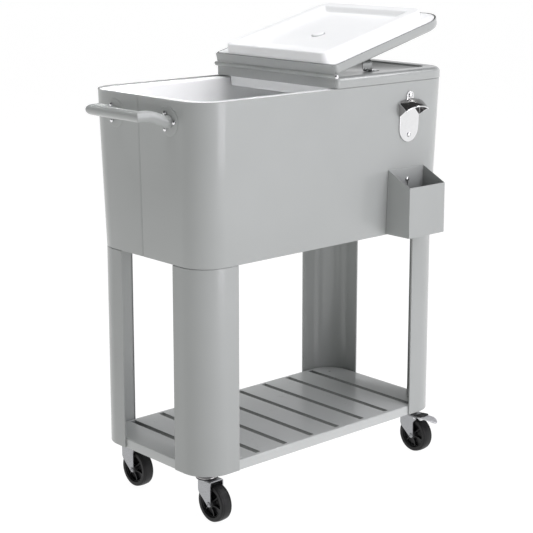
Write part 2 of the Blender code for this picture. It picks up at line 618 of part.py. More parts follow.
for place, (sx, sy) in CORNERS.items():
    at_stem = Vector((sx * STEM_X, sy * STEM_Y, 0))
    s = copy_of(stem, "caster_stem_" + place, ZINC)
    s.location = at_stem
    swivel = bpy.data.objects.new("swivel_" + place, None)
    swivel.location = at_stem
    SCENE.objects.link(swivel)
    f = copy_of(fork_braked if sx > 0 else fork_plain, "fork_" + place, ZINC)
    w = copy_of(wheel, "wheel_" + place, RUBBER)
    w.location = (0, -TRAIL, WHEEL_R)
    a = copy_of(axle, "axle_" + place, CHROME)
    a.location = (0, -TRAIL, WHEEL_R)
    parts = [f, w, a]
    if sx > 0:
        p = copy_of(pedal, "brake_pedal_" + place, ZINC)
        p.location = (0, PEDAL_Y, PEDAL_Z)
        parts.append(p)
    for o in parts:
        o.parent = swivel
for o in (stem, fork_plain, fork_braked, wheel, axle, pedal):
    bpy.data.objects.remove(o, do_unlink=True)


# ================================================================ end handles
def handle_mesh(name, side):
    """Bar and flanges in world coordinates; side is -1 (left) or +1 (right)."""
    bend = 15 * MM
    path = []
    z0, z1 = FLANGE_Z, FLANGE_Z + RISE
    x0 = half_x(FLANGE_Z) + 1.5 * MM
    x1 = TOP_X + REACH
    n = 6
    slope = (z1 - z0) / (x1 - bend - x0 - 6 * MM)

    def lift(x):
        return z0 + max(0.0, min(x, x1 - bend) - x0 - 6 * MM) * slope
    path.append((x0, -FLANGE_Y, z0))
    for k in range(4):
        x = x0 + 6 * MM + (x1 - bend - x0 - 6 * MM) * k / 4
        path.append((x, -FLANGE_Y, lift(x)))
    for k in range(n + 1):
        t = math.radians(90 * k / n)
        path.append((x1 - bend + bend * math.sin(t), -FLANGE_Y + bend - bend * math.cos(t), z1))
    for y in (-0.03, 0.0):
        path.append((x1, y, z1))
    whole = path + [(x, -y, z) for x, y, z in reversed(path[:-1])]
    radii = []
    for x, y, z in whole:
        near = max(0.0, 1 - (x - x0) / (26 * MM))
        radii.append(TUBE_R + 1.3 * MM * near * near)
    whole = [(side * x, y, z) for x, y, z in whole]
    bar = tube(name, whole, radii, 14)
    for fy in (-FLANGE_Y, FLANGE_Y):
        flange = lathe("flange", [(FLANGE_R, GAP), (FLANGE_R, 2.6 * MM), (FLANGE_R - 1.2 * MM, 3.6 * MM)], 28, axis="X")
        transform(flange, end_wall(side, fy, FLANGE_Z))
        united(bar, flange)
    for fy in (-FLANGE_Y, FLANGE_Y):
        for k in range(3):
            ang = math.radians(180 + 120 * k)
            hole = lathe("stud_hole", [(2.9 * MM, -3 * MM), (2.9 * MM, 6 * MM)], 8, axis="X")
            transform(hole, end_wall(side, fy, FLANGE_Z)
                      @ Matrix.Translation((0, (1 if side > 0 else -1) * BOLT_CIRCLE * math.cos(ang),
                                            BOLT_CIRCLE * math.sin(ang))))
            cut(bar, hole)
    return bar


def anchor_mesh(name, side, fy):
    """Backing plate inside the wall with three studs and their dome nuts, one welded piece."""
    body = lathe(name, [(26 * MM, -SHEET - 0.4 * MM - 1.8 * MM), (26 * MM, -SHEET - 0.4 * MM)], 20, CHROME, "X")
    for k in range(3):
        ang = math.radians(180 + 120 * k)
        stud = lathe("stud", [(2.4 * MM, -2.4 * MM), (2.4 * MM, 4.05 * MM), (4.6 * MM, 4.05 * MM), (4.6 * MM, 6.2 * MM),
                              (3.6 * MM, 8.2 * MM)], 8, axis="X")
        transform(stud, Matrix.Translation((0, (1 if side > 0 else -1) * BOLT_CIRCLE * math.cos(ang),
                                            BOLT_CIRCLE * math.sin(ang))))
        united(body, stud)
    transform(body, end_wall(side, fy, FLANGE_Z))
    return body


for side, word in ((-1, "left"), (1, "right")):
    handle_mesh("handle_" + word, side)
    anchor_mesh("handle_anchor_%s_front" % word, side, -FLANGE_Y)
    anchor_mesh("handle_anchor_%s_back" % word, side, FLANGE_Y)


# ================================================================ bottle opener on the front wall
def opener_mesh():
    """In wall coordinates: x across, -y away from the wall, z measured from the rim line down the wall."""
    t0, t1 = -GAP, -2.9 * MM
    outline = arc(0, -29 * MM, 10 * MM, 0, 180, 8)
    outline += [(-10 * MM, -38 * MM), (-28 * MM, -44 * MM), (-28 * MM, -84 * MM)]
    outline += [(28 * math.cos(math.radians(a)) * MM, (-93 + 31 * math.sin(math.radians(a))) * MM)
                for a in (190, 205, 220, 236, 253, 270, 287, 304, 320, 335, 350)]
    outline += [(28 * MM, -84 * MM), (28 * MM, -44 * MM), (10 * MM, -38 * MM)]
    plate_ = prism("bottle_opener", outline, t1, t0, "XZ", CHROME)
    hood = [(-2.6 * MM, -35 * MM), (-10 * MM, -36 * MM), (-29 * MM, -46 * MM), (-30 * MM, -50 * MM), (-27 * MM, -53 * MM),
            (-2.6 * MM, -68 * MM)]
    visor = prism("visor", hood, -36 * MM, 36 * MM, "YZ")
    plan = [(-36, 1), (-34, -14), (-30, -26), (-18, -30.5), (0, -32), (18, -30.5), (30, -26), (34, -14), (36, 1)]
    trim = prism("visor_plan", [(x * MM, y * MM) for x, y in plan], -80 * MM, -20 * MM)
    boolean(visor, trim, "INTERSECT")
    settle(visor, trim)
    hollow = [(-4 * MM, -40 * MM), (-10 * MM, -40.5 * MM), (-25 * MM, -48.6 * MM), (-26.5 * MM, -52 * MM), (-36 * MM, -60 * MM),
              (-36 * MM, -80 * MM), (-4 * MM, -80 * MM)]
    bite = prism("bite", hollow, -31.5 * MM, 31.5 * MM, "YZ")
    cut(visor, bite)
    united(plate_, visor)
    for z in (-28 * MM, -109 * MM):
        hole = lathe("screw_hole", [(2.6 * MM, -10 * MM), (2.6 * MM, 10 * MM)], 12, axis="Y")
        cut(plate_, transform(hole, Matrix.Translation((0, 0, z))))
    return plate_


opener = opener_mesh()
OPENER_FRAME = front_wall(OPENER_X, RIM_Z)
transform(opener, OPENER_FRAME)


def wall_screw(name, frame, seat, head_r=5 * MM):
    """Pan-head screw through the sheet; seat is the distance from the wall to the underside of the head."""
    s = lathe(name, [(2.1 * MM, 4 * MM), (2.1 * MM, -seat), (head_r, -seat), (head_r, -seat - 1.4 * MM),
                     (head_r * 0.8, -seat - 2.8 * MM), (head_r * 0.4, -seat - 3.3 * MM)], 14, CHROME, "Y")
    transform(s, frame)
    return s


def wall_hole(frame, r=2.5 * MM):
    h = lathe("wall_hole", [(r, -6 * MM), (r, 6 * MM)], 12, axis="Y")
    return transform(h, frame)


for name, z in (("opener_screw_top", -28 * MM), ("opener_screw_low", -109 * MM)):
    frame = OPENER_FRAME @ Matrix.Translation((0, 0, z))
    wall_screw(name, frame, 3.3 * MM)
    cut(shell_front, wall_hole(frame))

# ================================================================ cap catcher, hung on one screw
def wall_y(z, off=0.0):
    return -half_y(z) - off


def catcher_mesh():
    t = 1.2 * MM
    outer = [(wall_y(CATCHER_LOW_Z, GAP), CATCHER_LOW_Z), (CATCHER_FRONT_Y, CATCHER_LOW_Z),
             (CATCHER_FRONT_Y, CATCHER_FRONT_Z), (wall_y(CATCHER_BACK_Z, GAP), CATCHER_BACK_Z)]
    body = prism("cap_catcher", outer, CATCHER_X0, CATCHER_X1, "YZ")
    lift = 20 * MM
    inner = [(wall_y(CATCHER_LOW_Z + t, GAP + t), CATCHER_LOW_Z + t), (CATCHER_FRONT_Y + t, CATCHER_LOW_Z + t),
             (CATCHER_FRONT_Y + t, CATCHER_BACK_Z + lift), (wall_y(CATCHER_BACK_Z + lift, GAP + t), CATCHER_BACK_Z + lift)]
    cut(body, prism("catcher_room", inner, CATCHER_X0 + t, CATCHER_X1 - t, "YZ"))
    x, z = CATCHER_SCREW
    w = 2.75 * MM
    slot = arc(x, z, w, 0, 180, 6) + arc(x, z - 11.2 * MM, w, 180, 360, 6)
    cut(body, prism("hang_slot", slot, wall_y(z) - 6 * MM, wall_y(z) + 6 * MM, "XZ"))
    return body


catcher = catcher_mesh()
frame = front_wall(*CATCHER_SCREW)
wall_screw("catcher_screw", frame, GAP + 1.2 * MM + 0.35 * MM, 4.7 * MM)
cut(shell_front, wall_hole(frame))


# ================================================================ lids
def lid_outline(d=0.0, hinge=None, n=5):
    """Right lid, d inside its skirt; hinge overrides the hinge-side inset."""
    h = d if hinge is None else hinge
    r0 = max(LID_EDGE_R - d, 0.6 * MM)
    r1 = max(CORNER_R + LID_OVER - d, 0.6 * MM)
    y = TOP_Y + LID_OVER - d
    return rrect(LID_FACE + h, TOP_X + LID_OVER - d, -y, y, r0, r1, n)


def block_outline(d=0.0):
    y = TOP_Y + LID_OVER - BLOCK_IN - d
    r0 = max(14 * MM - d, 2 * MM)
    r1 = max(31 * MM - d, 4 * MM)
    return rrect(BLOCK_HINGE_IN + d, TOP_X + LID_OVER - BLOCK_IN - d, -y, y, r0, r1, 5)


def recess_outline(d=0.0):
    y = TOP_Y + LID_OVER - RECESS_IN - d
    r = 20 * MM - d
    return rrect(LID_FACE + 26 * MM + d, TOP_X + LID_OVER - RECESS_IN - d, -y, y, r, r, 5)


TOP = RIM_Z + LID_H
HEM_LOW = RIM_Z + 0.9 * MM


def lid_skin():
    r, t = LID_EDGE_R, 1.0 * MM
    rings = [at(recess_outline(0.9 * MM), TOP - RECESS_D - t), at(recess_outline(-0.6 * MM), TOP - t)]
    for k in range(5):
        a = math.radians(90 - 90 * k / 4)
        rings.append(at(lid_outline(r - (r - t) * math.cos(a)), TOP - r + (r - t) * math.sin(a)))
    rings += [at(lid_outline(t), HEM_LOW + 5 * MM), at(lid_outline(3.2 * MM), HEM_LOW + 5 * MM),
              at(lid_outline(3.2 * MM), HEM_LOW), at(lid_outline(0), HEM_LOW)]
    for k in range(6):
        a = math.radians(90 * k / 5)
        rings.append(at(lid_outline(r - r * math.cos(a)), TOP - r + r * math.sin(a)))
    rings += [at(recess_outline(0), TOP), at(recess_outline(1.5 * MM), TOP - RECESS_D)]
    ob = stack("lid_skin", rings)
    for y in (-STRAP_Y - STRAP_FOOT / 2, STRAP_Y + STRAP_FOOT / 2):
        hole = lathe("screw_hole", [(2.6 * MM, TOP - 8 * MM), (2.6 * MM, TOP + 4 * MM)], 12)
        cut(ob, transform(hole, Matrix.Translation((STRAP_X, y, 0))))
    return ob


def lid_liner():
    f0, f1 = RIM_Z + 0.6 * MM, RIM_Z + 2.6 * MM
    low = RIM_Z - BLOCK_D
    pan = RIM_Z - 8 * MM
    cx = (BLOCK_HINGE_IN + TOP_X + LID_OVER - BLOCK_IN) / 2

    def plug(r):
        return rrect(cx - r - 0.2 * MM, cx + r + 0.2 * MM, -r - 0.2 * MM, r + 0.2 * MM, r, r, 5)
    rings = [
        at(plug(7 * MM), pan - 1.6 * MM), at(plug(8.5 * MM), pan), at(block_outline(36 * MM), pan),
        at(block_outline(27 * MM), low + 1.0 * MM), at(block_outline(25 * MM), low),
        at(block_outline(5.4 * MM), low), at(block_outline(3.2 * MM), low + 0.9 * MM), at(block_outline(2.2 * MM), low + 3.2 * MM),
        at(block_outline(0.2 * MM), f0), at(lid_outline(3.55 * MM), f0), at(lid_outline(3.55 * MM), f1),
        at(block_outline(2.2 * MM), f1), at(block_outline(4.3 * MM), low + 3.6 * MM), at(block_outline(6 * MM), low + 2 * MM),
        at(block_outline(24 * MM), low + 2 * MM), at(block_outline(34 * MM), pan + 2 * MM)]
    return stack("lid_liner", rings, PLASTIC)


def lid_foam():
    return stack("lid_foam", [
        at(block_outline(5.2 * MM), RIM_Z - 5.5 * MM), at(block_outline(3.2 * MM), RIM_Z + 3 * MM),
        at(lid_outline(4.4 * MM), RIM_Z + 3 * MM), at(lid_outline(4.4 * MM), RIM_Z + 12.6 * MM)], RIGID_FOAM)


def leaf(odd):
    """Hinge leaf with every second knuckle, in hinge-axis coordinates, on the right-hand side."""
    full = TOP_Y + LID_OVER
    body = box("leaf", 0.32 * MM, 1.3 * MM, -full + 4 * MM, full - 4 * MM, -22.8 * MM, -5.0 * MM)
    pitch = 2 * full / KNUCKLES
    for k in range(KNUCKLES):
        if (k % 2 == 0) == odd:
            y0, y1 = -full + pitch * k + 0.2 * MM, -full + pitch * (k + 1) - 0.2 * MM
            knuckle = lathe_ring("knuckle", [(ROD_R + 0.4 * MM, y0), (BARREL_R, y0), (BARREL_R, y1), (ROD_R + 0.4 * MM, y1)], 18, axis="Y")
            w0, w1 = max(y0 + 1 * MM, -full + 5 * MM), min(y1 - 1 * MM, full - 5 * MM)
            united(body, knuckle, box("web", 0.37 * MM, 1.25 * MM, w0, w1, -5.4 * MM, -3.4 * MM))
    return body


def lid_handle():
    base = TOP - RECESS_D + 0.3 * MM + STRAP_T / 2
    top = TOP - RECESS_D + STRAP_H - STRAP_T / 2
    y0, r0, r1 = STRAP_Y, 4 * MM, 9 * MM
    half = [(-y0 - STRAP_FOOT, base)]
    half += [(-y0 - r0 + r0 * math.sin(math.radians(a)), base + r0 - r0 * math.cos(math.radians(a))) for a in (0, 30, 60, 90)]
    half += [(-y0 + r1 - r1 * math.cos(math.radians(a)), top - r1 + r1 * math.sin(math.radians(a))) for a in (0, 22.5, 45, 67.5, 90)]
    path = half + [(-y, z) for y, z in reversed(half)]
    ob = strap("lid_handle", path, STRAP_T, STRAP_X - STRAP_W / 2, STRAP_X + STRAP_W / 2)
    for y in (-STRAP_Y - STRAP_FOOT / 2, STRAP_Y + STRAP_FOOT / 2):
        hole = lathe("screw_hole", [(2.6 * MM, TOP - 8 * MM), (2.6 * MM, TOP + 4 * MM)], 12)
        cut(ob, transform(hole, Matrix.Translation((STRAP_X, y, 0))))
    return ob


def lid_handle_screws():
    """Tapped backing strip inside the lid with its two screws run home, one piece when assembled."""
    y = STRAP_Y + STRAP_FOOT / 2
    under = TOP - RECESS_D - 1.0 * MM - 0.35 * MM
    ob = box("lid_screws", STRAP_X - 9 * MM, STRAP_X + 9 * MM, -y - 10 * MM, y + 10 * MM, under - 1.6 * MM, under, CHROME)
    seat = TOP - RECESS_D + 0.3 * MM + STRAP_T + 0.35 * MM
    for s in (-1, 1):
        screw = lathe("screw", [(2.1 * MM, under - 3 * MM), (2.1 * MM, seat), (4.8 * MM, seat), (4.8 * MM, seat + 1.2 * MM),
                                (3.8 * MM, seat + 2.4 * MM), (1.8 * MM, seat + 2.9 * MM)], 12)
        united(ob, transform(screw, Matrix.Translation((STRAP_X, s * y, 0))))
    return ob


hinge = bpy.data.objects.new("left_lid_hinge", None)
hinge.location = (0, 0, HINGE_Z)
hinge.rotation_euler = (0, math.radians(OPEN_DEG), 0)
SCENE.objects.link(hinge)
TO_AXIS = Matrix.Translation((0, 0, -HINGE_Z))
MIRROR = Matrix.Diagonal((-1, 1, 1, 1))
for maker, right, left, look in (
        (lid_skin, "right_lid_skin", "left_lid_skin", PAINT),
        (lid_liner, "right_lid_liner", "left_lid_liner", PLASTIC),
        (lid_foam, "right_lid_foam", "left_lid_foam", RIGID_FOAM),
        (lid_handle, "right_lid_handle", "left_lid_handle", CHROME),
        (lid_handle_screws, "right_lid_handle_screws", "left_lid_handle_screws", CHROME)):
    piece = maker()
    r_ = copy_of(piece, right, look)
    l_ = copy_of(piece, left, look)
    transform(l_, MIRROR @ TO_AXIS)
    l_.parent = hinge
    bpy.data.objects.remove(piece, do_unlink=True)

r_leaf = copy_of(leaf(True), "right_hinge_leaf")
r_leaf.location = (0, 0, HINGE_Z)
l_leaf = copy_of(leaf(False), "left_hinge_leaf")
transform(l_leaf, MIRROR)
l_leaf.parent = hinge
for o in [o for o in bpy.data.objects if o.name.startswith("leaf")]:
    bpy.data.objects.remove(o, do_unlink=True)

end = TOP_Y + LID_OVER + 0.35 * MM
rod = lathe("hinge_rod", [
    (1.6 * MM, -end - 4.0 * MM), (3.4 * MM, -end - 3.3 * MM), (4.4 * MM, -end - 1.8 * MM), (4.5 * MM, -end), (ROD_R, -end),
    (ROD_R, end), (4.5 * MM, end), (4.4 * MM, end + 1.8 * MM), (3.4 * MM, end + 3.3 * MM), (1.6 * MM, end + 4.0 * MM)],
    18, CHROME, "Y")
rod.location = (0, 0, HINGE_Z)

# ================================================================ frame
root = bpy.data.objects.new("cooler", None)
SCENE.objects.link(root)
for o in [o for o in bpy.data.objects if o.parent is None and o is not root]:
    o.parent = root
root.location = (0, -ORIGIN_Y, 0)
bpy.context.view_layer.update()
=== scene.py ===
"""Looks of the rolling patio cooler: fine surfaces, finishes, studio light and camera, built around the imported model.

Units are metres. +Z is up, +X runs along the tank towards the opener end, -Y is the front.
"""

import json
import math

import bmesh
import bpy
from mathutils import Matrix, Vector


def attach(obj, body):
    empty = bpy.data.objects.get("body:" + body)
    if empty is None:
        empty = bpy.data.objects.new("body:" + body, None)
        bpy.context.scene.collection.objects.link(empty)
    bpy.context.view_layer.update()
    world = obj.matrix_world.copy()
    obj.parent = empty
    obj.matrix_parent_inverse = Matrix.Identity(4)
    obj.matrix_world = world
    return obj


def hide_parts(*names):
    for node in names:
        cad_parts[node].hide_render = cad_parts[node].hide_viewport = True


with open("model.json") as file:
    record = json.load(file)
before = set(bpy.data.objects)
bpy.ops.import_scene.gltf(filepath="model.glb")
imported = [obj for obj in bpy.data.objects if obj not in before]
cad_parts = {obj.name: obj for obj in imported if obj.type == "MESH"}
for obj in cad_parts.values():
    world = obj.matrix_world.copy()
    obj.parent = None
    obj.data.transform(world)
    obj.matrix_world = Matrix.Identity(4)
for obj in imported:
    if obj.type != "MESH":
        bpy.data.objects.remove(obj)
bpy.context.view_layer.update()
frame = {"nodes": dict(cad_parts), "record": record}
NODES = frame["nodes"]

MM = 0.001
SHIFT_Y = 24.525 * MM       # the construction's own middle line lies here, seen from the row's origin

# ---------------------------------------------------------------- sizes, as in the construction
RIM_Z = 816 * MM
TANK_LOW_Z = 503.3 * MM
TOP_X, TOP_Y = 337.1 * MM, 178.6 * MM
LOW_X, LOW_Y = 330.6 * MM, 167.5 * MM
CORNER_R = 60 * MM
SHEET = 1.0 * MM
HEM_T, HEM_H = 2.6 * MM, 6 * MM
GAP = 0.35 * MM
MOUTH = 25 * MM
LINER_T = 2.5 * MM
LINER_FLOOR_Z = 532 * MM
LINER_LOW_X, LINER_LOW_Y, LINER_LOW_R = 299 * MM, 141 * MM, 30 * MM
LEG_LOW_Z, LEG_TOP_Z = 96 * MM, 500.8 * MM
LEG_T = 1.2 * MM
LEG_WING_X, LEG_WING_Y = 90 * MM, 87 * MM
LEG_RETURN = 6 * MM
SHELF_Z = 115 * MM
SHELF_LIP_Z = 95 * MM
SHELF_INSET = 3.9 * MM
SLOT_PITCH, SLOT_W, SLOT_HALF = 72.8 * MM, 10.5 * MM, 155 * MM
STEM_X, STEM_Y = 286 * MM, 122.6 * MM
TRAIL = 24.5 * MM
WHEEL_R, WHEEL_W = 37.5 * MM, 24 * MM
FORK_IN, FORK_T = 14.6 * MM, 2.0 * MM
PEDAL_Y, PEDAL_Z = -33.5 * MM, 78.2 * MM
LID_H = 22 * MM
LID_OVER = 1.0 * MM
LID_FACE = 1.65 * MM
LID_EDGE_R = 10 * MM
HINGE_Z = RIM_Z + 24 * MM
OPEN_DEG = 165.6
BARREL_R, ROD_R = 4.5 * MM, 2.5 * MM
KNUCKLES = 7
RECESS_IN, RECESS_D = 37 * MM, 3 * MM
BLOCK_IN, BLOCK_HINGE_IN, BLOCK_D = 30 * MM, 5 * MM, 20 * MM
FLANGE_Y, FLANGE_Z = 82.7 * MM, RIM_Z - 41 * MM
FLANGE_R, BOLT_CIRCLE = 27.5 * MM, 17.5 * MM
TUBE_R = 10.5 * MM
REACH, RISE = 60 * MM, 13 * MM
STRAP_X, STRAP_W, STRAP_T = 162 * MM, 26 * MM, 2.5 * MM
STRAP_Y, STRAP_FOOT, STRAP_H = 105 * MM, 24 * MM, 23.6 * MM
OPENER_X = 211.5 * MM
CATCHER_X0, CATCHER_X1 = 157.5 * MM, 263 * MM
CATCHER_FRONT_Y = -233 * MM
CATCHER_LOW_Z, CATCHER_BACK_Z, CATCHER_FRONT_Z = 505 * MM, 638.5 * MM, 608.5 * MM
CATCHER_SCREW = (213.6 * MM, 614 * MM)
DRAIN_Z = 556.5 * MM

COLL = bpy.context.scene.collection


# ================================================================ node helpers
class Shader:
    """Small helper that writes a node tree for one material."""

    def __init__(self, name):
        self.m = bpy.data.materials.new(name)
        self.m.use_nodes = True
        self.t = self.m.node_tree
        self.p = self.t.nodes["Principled BSDF"]
        self.co = self.t.nodes.new("ShaderNodeTexCoord").outputs["Object"]

    def put(self, socket, value):
        if isinstance(value, bpy.types.NodeSocket):
            self.t.links.new(value, socket)
        elif isinstance(value, (tuple, list)) and len(value) == 3 and socket.type == "RGBA":
            socket.default_value = (*value, 1.0)
        else:
            socket.default_value = value

    def set(self, **values):
        for key, value in values.items():
            self.put(self.p.inputs[key.replace("_", " ")], value)
        return self

    def scaled(self, x, y, z):
        n = self.t.nodes.new("ShaderNodeMapping")
        n.inputs["Scale"].default_value = (x, y, z)
        self.t.links.new(self.co, n.inputs["Vector"])
        return n.outputs["Vector"]

    def noise(self, scale, detail=2.0, rough=0.5, where=None, distort=0.0):
        n = self.t.nodes.new("ShaderNodeTexNoise")
        n.inputs["Scale"].default_value = scale
        n.inputs["Detail"].default_value = detail
        n.inputs["Roughness"].default_value = rough
        n.inputs["Distortion"].default_value = distort
        self.t.links.new(where or self.co, n.inputs["Vector"])
        return n.outputs["Fac"]

    def cells(self, scale, feature="F1", where=None, randomness=1.0):
        n = self.t.nodes.new("ShaderNodeTexVoronoi")
        n.feature = feature
        n.inputs["Scale"].default_value = scale
        n.inputs["Randomness"].default_value = randomness
        self.t.links.new(where or self.co, n.inputs["Vector"])
        return n.outputs["Distance"]

    def ramp(self, fac, lo, hi, a=0.0, b=1.0):
        n = self.t.nodes.new("ShaderNodeMapRange")
        n.clamp = True
        n.inputs["From Min"].default_value = lo
        n.inputs["From Max"].default_value = hi
        n.inputs["To Min"].default_value = a
        n.inputs["To Max"].default_value = b
        self.t.links.new(fac, n.inputs["Value"])
        return n.outputs["Result"]

    def maths(self, op, a, b=0.0):
        n = self.t.nodes.new("ShaderNodeMath")
        n.operation = op
        self.put(n.inputs[0], a)
        self.put(n.inputs[1], b)
        return n.outputs[0]

    def mix(self, fac, a, b):
        n = self.t.nodes.new("ShaderNodeMix")
        n.data_type = "RGBA"
        self.put(n.inputs["Factor"], fac)
        self.put(n.inputs[6], (*a, 1.0) if isinstance(a, tuple) else a)
        self.put(n.inputs[7], (*b, 1.0) if isinstance(b, tuple) else b)
        return n.outputs[2]

    def pointy(self):
        return self.t.nodes.new("ShaderNodeNewGeometry").outputs["Pointiness"]

    def split(self):
        n = self.t.nodes.new("ShaderNodeSeparateXYZ")
        self.t.links.new(self.co, n.inputs[0])
        return n.outputs

    def bump(self, *layers):
        """layers: (height, strength, distance)."""
        last = None
        for height, strength, distance in layers:
            n = self.t.nodes.new("ShaderNodeBump")
            n.inputs["Strength"].default_value = strength
            n.inputs["Distance"].default_value = distance
            self.t.links.new(height, n.inputs["Height"])
            if last is not None:
                self.t.links.new(last, n.inputs["Normal"])
            last = n.outputs["Normal"]
        self.t.links.new(last, self.p.inputs["Normal"])
        return self


def powder_coat(name, rgb, rough=(0.30, 0.40), peel=0.12, dust=0.05):
    """Baked powder paint over steel: fine orange peel, slow sheet waves, faint dust and rubbed patches."""
    s = Shader(name)
    broad = s.noise(3.1, 3.0, 0.55)
    patch = s.noise(17.0, 4.0, 0.6)
    fleck = s.noise(1900.0, 1.0, 0.5)
    low = tuple(c * (1 - dust) for c in rgb)
    high = tuple(min(1.0, c * (1 + dust * 0.7)) for c in rgb)
    tone = s.mix(s.ramp(broad, 0.3, 0.7), low, high)
    tone = s.mix(s.ramp(fleck, 0.62, 0.8, 0.0, 0.16), tone, tuple(c * 0.72 for c in rgb))
    s.set(Base_Color=tone, Metallic=0.0, IOR=1.5)
    s.set(Roughness=s.ramp(s.maths("ADD", s.maths("MULTIPLY", patch, 0.65), s.maths("MULTIPLY", fleck, 0.35)), 0.3, 0.7, *rough))
    s.p.inputs["Coat Weight"].default_value = 0.5
    s.p.inputs["Coat Roughness"].default_value = 0.13
    s.bump((s.noise(620.0, 2.0, 0.5), peel, 0.00025), (s.noise(9.0, 1.0, 0.5), 0.10, 0.0012))
    return s.m


def moulded(name, rgb, rough=(0.28, 0.42), grain=0.15, scale=900.0, scuff=0.5):
    """Moulded plastic: very fine mould grain, soft gloss changes and hairline scuffs."""
    s = Shader(name)
    broad = s.noise(6.0, 3.0, 0.6)
    lines = s.noise(60.0, 5.0, 0.75, s.scaled(1.0, 14.0, 1.0))
    s.set(Base_Color=s.mix(s.ramp(broad, 0.3, 0.75), tuple(c * 0.965 for c in rgb), rgb), Metallic=0.0, IOR=1.46)
    s.set(Roughness=s.ramp(s.maths("ADD", s.maths("MULTIPLY", broad, 0.5), s.maths("MULTIPLY", lines, scuff)), 0.35, 0.75, *rough))
    s.bump((s.noise(scale, 2.0, 0.5), grain, 0.00015), (s.ramp(lines, 0.64, 0.72), 0.05, 0.0001))
    return s.m


def plated(name, rgb, rough=(0.05, 0.14), swirl=0.05, waves=0.04):
    """Bright plating: fine polishing lines, faint handling marks, a little waviness under the plate."""
    s = Shader(name)
    lines = s.noise(240.0, 4.0, 0.7, s.scaled(1.0, 0.22, 5.0))
    marks = s.noise(38.0, 5.0, 0.65)
    s.set(Base_Color=s.mix(s.ramp(marks, 0.35, 0.7), rgb, tuple(c * 0.93 for c in rgb)), Metallic=1.0)
    s.set(Roughness=s.ramp(s.maths("ADD", s.maths("MULTIPLY", lines, 0.4), s.maths("MULTIPLY", marks, 0.6)), 0.35, 0.7, *rough))
    s.bump((lines, swirl, 0.0001), (s.noise(22.0, 1.0, 0.5), waves, 0.0008))
    return s.m


def zinc_plate(name, rgb, rough=(0.22, 0.38), metal=0.9):
    """Bright zinc: small spangled tone changes, roller lines from the strip and a slightly dull, cloudy gloss."""
    s = Shader(name)
    spangle = s.cells(420.0)
    cloud = s.noise(55.0, 4.0, 0.6)
    tone = s.mix(s.ramp(spangle, 0.1, 0.6), tuple(c * 0.88 for c in rgb), rgb)
    tone = s.mix(s.ramp(cloud, 0.55, 0.8, 0.0, 0.35), tone, tuple(c * 0.78 for c in rgb))
    s.set(Base_Color=tone, Metallic=metal)
    s.set(Roughness=s.ramp(s.maths("ADD", s.maths("MULTIPLY", spangle, 0.4), s.maths("MULTIPLY", cloud, 0.6)), 0.2, 0.7, *rough))
    s.bump((s.noise(300.0, 3.0, 0.6, s.scaled(1.0, 1.0, 7.0)), 0.12, 0.0001), (spangle, 0.05, 0.0001))
    return s.m


def rubber(name, rgb, rough=(0.38, 0.56)):
    """Tread rubber: satin, with dusty patches, moulding grain and rubbed spots."""
    s = Shader(name)
    dust = s.noise(34.0, 5.0, 0.65)
    tone = s.mix(s.ramp(dust, 0.48, 0.8, 0.0, 0.5), rgb, tuple(0.02 + c for c in rgb))
    s.set(Base_Color=tone, Metallic=0.0, IOR=1.5)
    s.p.inputs["Specular IOR Level"].default_value = 0.3
    s.set(Roughness=s.ramp(dust, 0.3, 0.7, *rough))
    s.bump((s.noise(1300.0, 2.0, 0.6), 0.3, 0.00015), (s.noise(90.0, 3.0, 0.5), 0.12, 0.0003))
    return s.m


def rigid_foam(name, rgb):
    """Poured insulating foam: cells and darker skins."""
    s = Shader(name)
    cell = s.cells(650.0)
    s.set(Base_Color=s.mix(s.ramp(cell, 0.0, 0.5), tuple(c * 0.8 for c in rgb), rgb), Metallic=0.0)
    s.set(Roughness=s.ramp(cell, 0.0, 0.6, 0.95, 0.8))
    s.bump((cell, 0.5, 0.0006))
    return s.m


PAINT = powder_coat("powder_grey", (0.366, 0.379, 0.372))
PAINT_LEG = PAINT
HINGE_PAINT = powder_coat("hinge_grey", (0.36, 0.372, 0.366), (0.34, 0.46), 0.16)
# painted light and shade: the shelf gets lighter copies of the powder grey, its top lighter than its lip and underside
SHELF_PAINT_LIT = powder_coat("shelf_grey_painted_light", (0.562, 0.578, 0.57), (0.26, 0.36))
SHELF_LIP_PAINT_SHADED = powder_coat("shelf_lip_grey_painted_shade", (0.51, 0.525, 0.517), (0.26, 0.36))
# painted shade: a dark grey for the insides of the shelf's slots and dimples
SLOT_SHADE = powder_coat("slot_painted_shade", (0.235, 0.245, 0.238), (0.40, 0.52))
# painted reflection: the handle strap's plating is darkened to stand in for the dark lid underside it mirrors
STRAP = plated("strap_metal_painted_shade", (0.40, 0.41, 0.41), (0.14, 0.26))
# painted shade: a near-black paint for thin edge lines that should read dark
SHADED_EDGE = powder_coat("edge_painted_shade", (0.12, 0.126, 0.122), (0.42, 0.56))
LINER_SHADE = moulded("liner_groove_painted_shade", (0.56, 0.565, 0.57))
LINER = moulded("liner_white", (0.90, 0.905, 0.907))
CHROME = plated("chrome", (0.84, 0.84, 0.85))
# painted shade and reflection: a darkened chrome for metal that should read dark
CHROME_PAINTED_SHADE = plated("chrome_painted_shade", (0.40, 0.39, 0.39))
PEDAL = zinc_plate("pedal_zinc", (0.80, 0.805, 0.82), (0.30, 0.46), 0.45)
ZINC = zinc_plate("zinc", (0.375, 0.38, 0.393))
TYRE = rubber("tyre_black", (0.0065, 0.0065, 0.007))
HUB = moulded("hub_black", (0.012, 0.012, 0.013), (0.34, 0.5), 0.4, 700.0)
SEAL = rubber("seal_black", (0.03, 0.03, 0.03), (0.6, 0.8))
FOAM = rigid_foam("foam", (0.86, 0.80, 0.55))

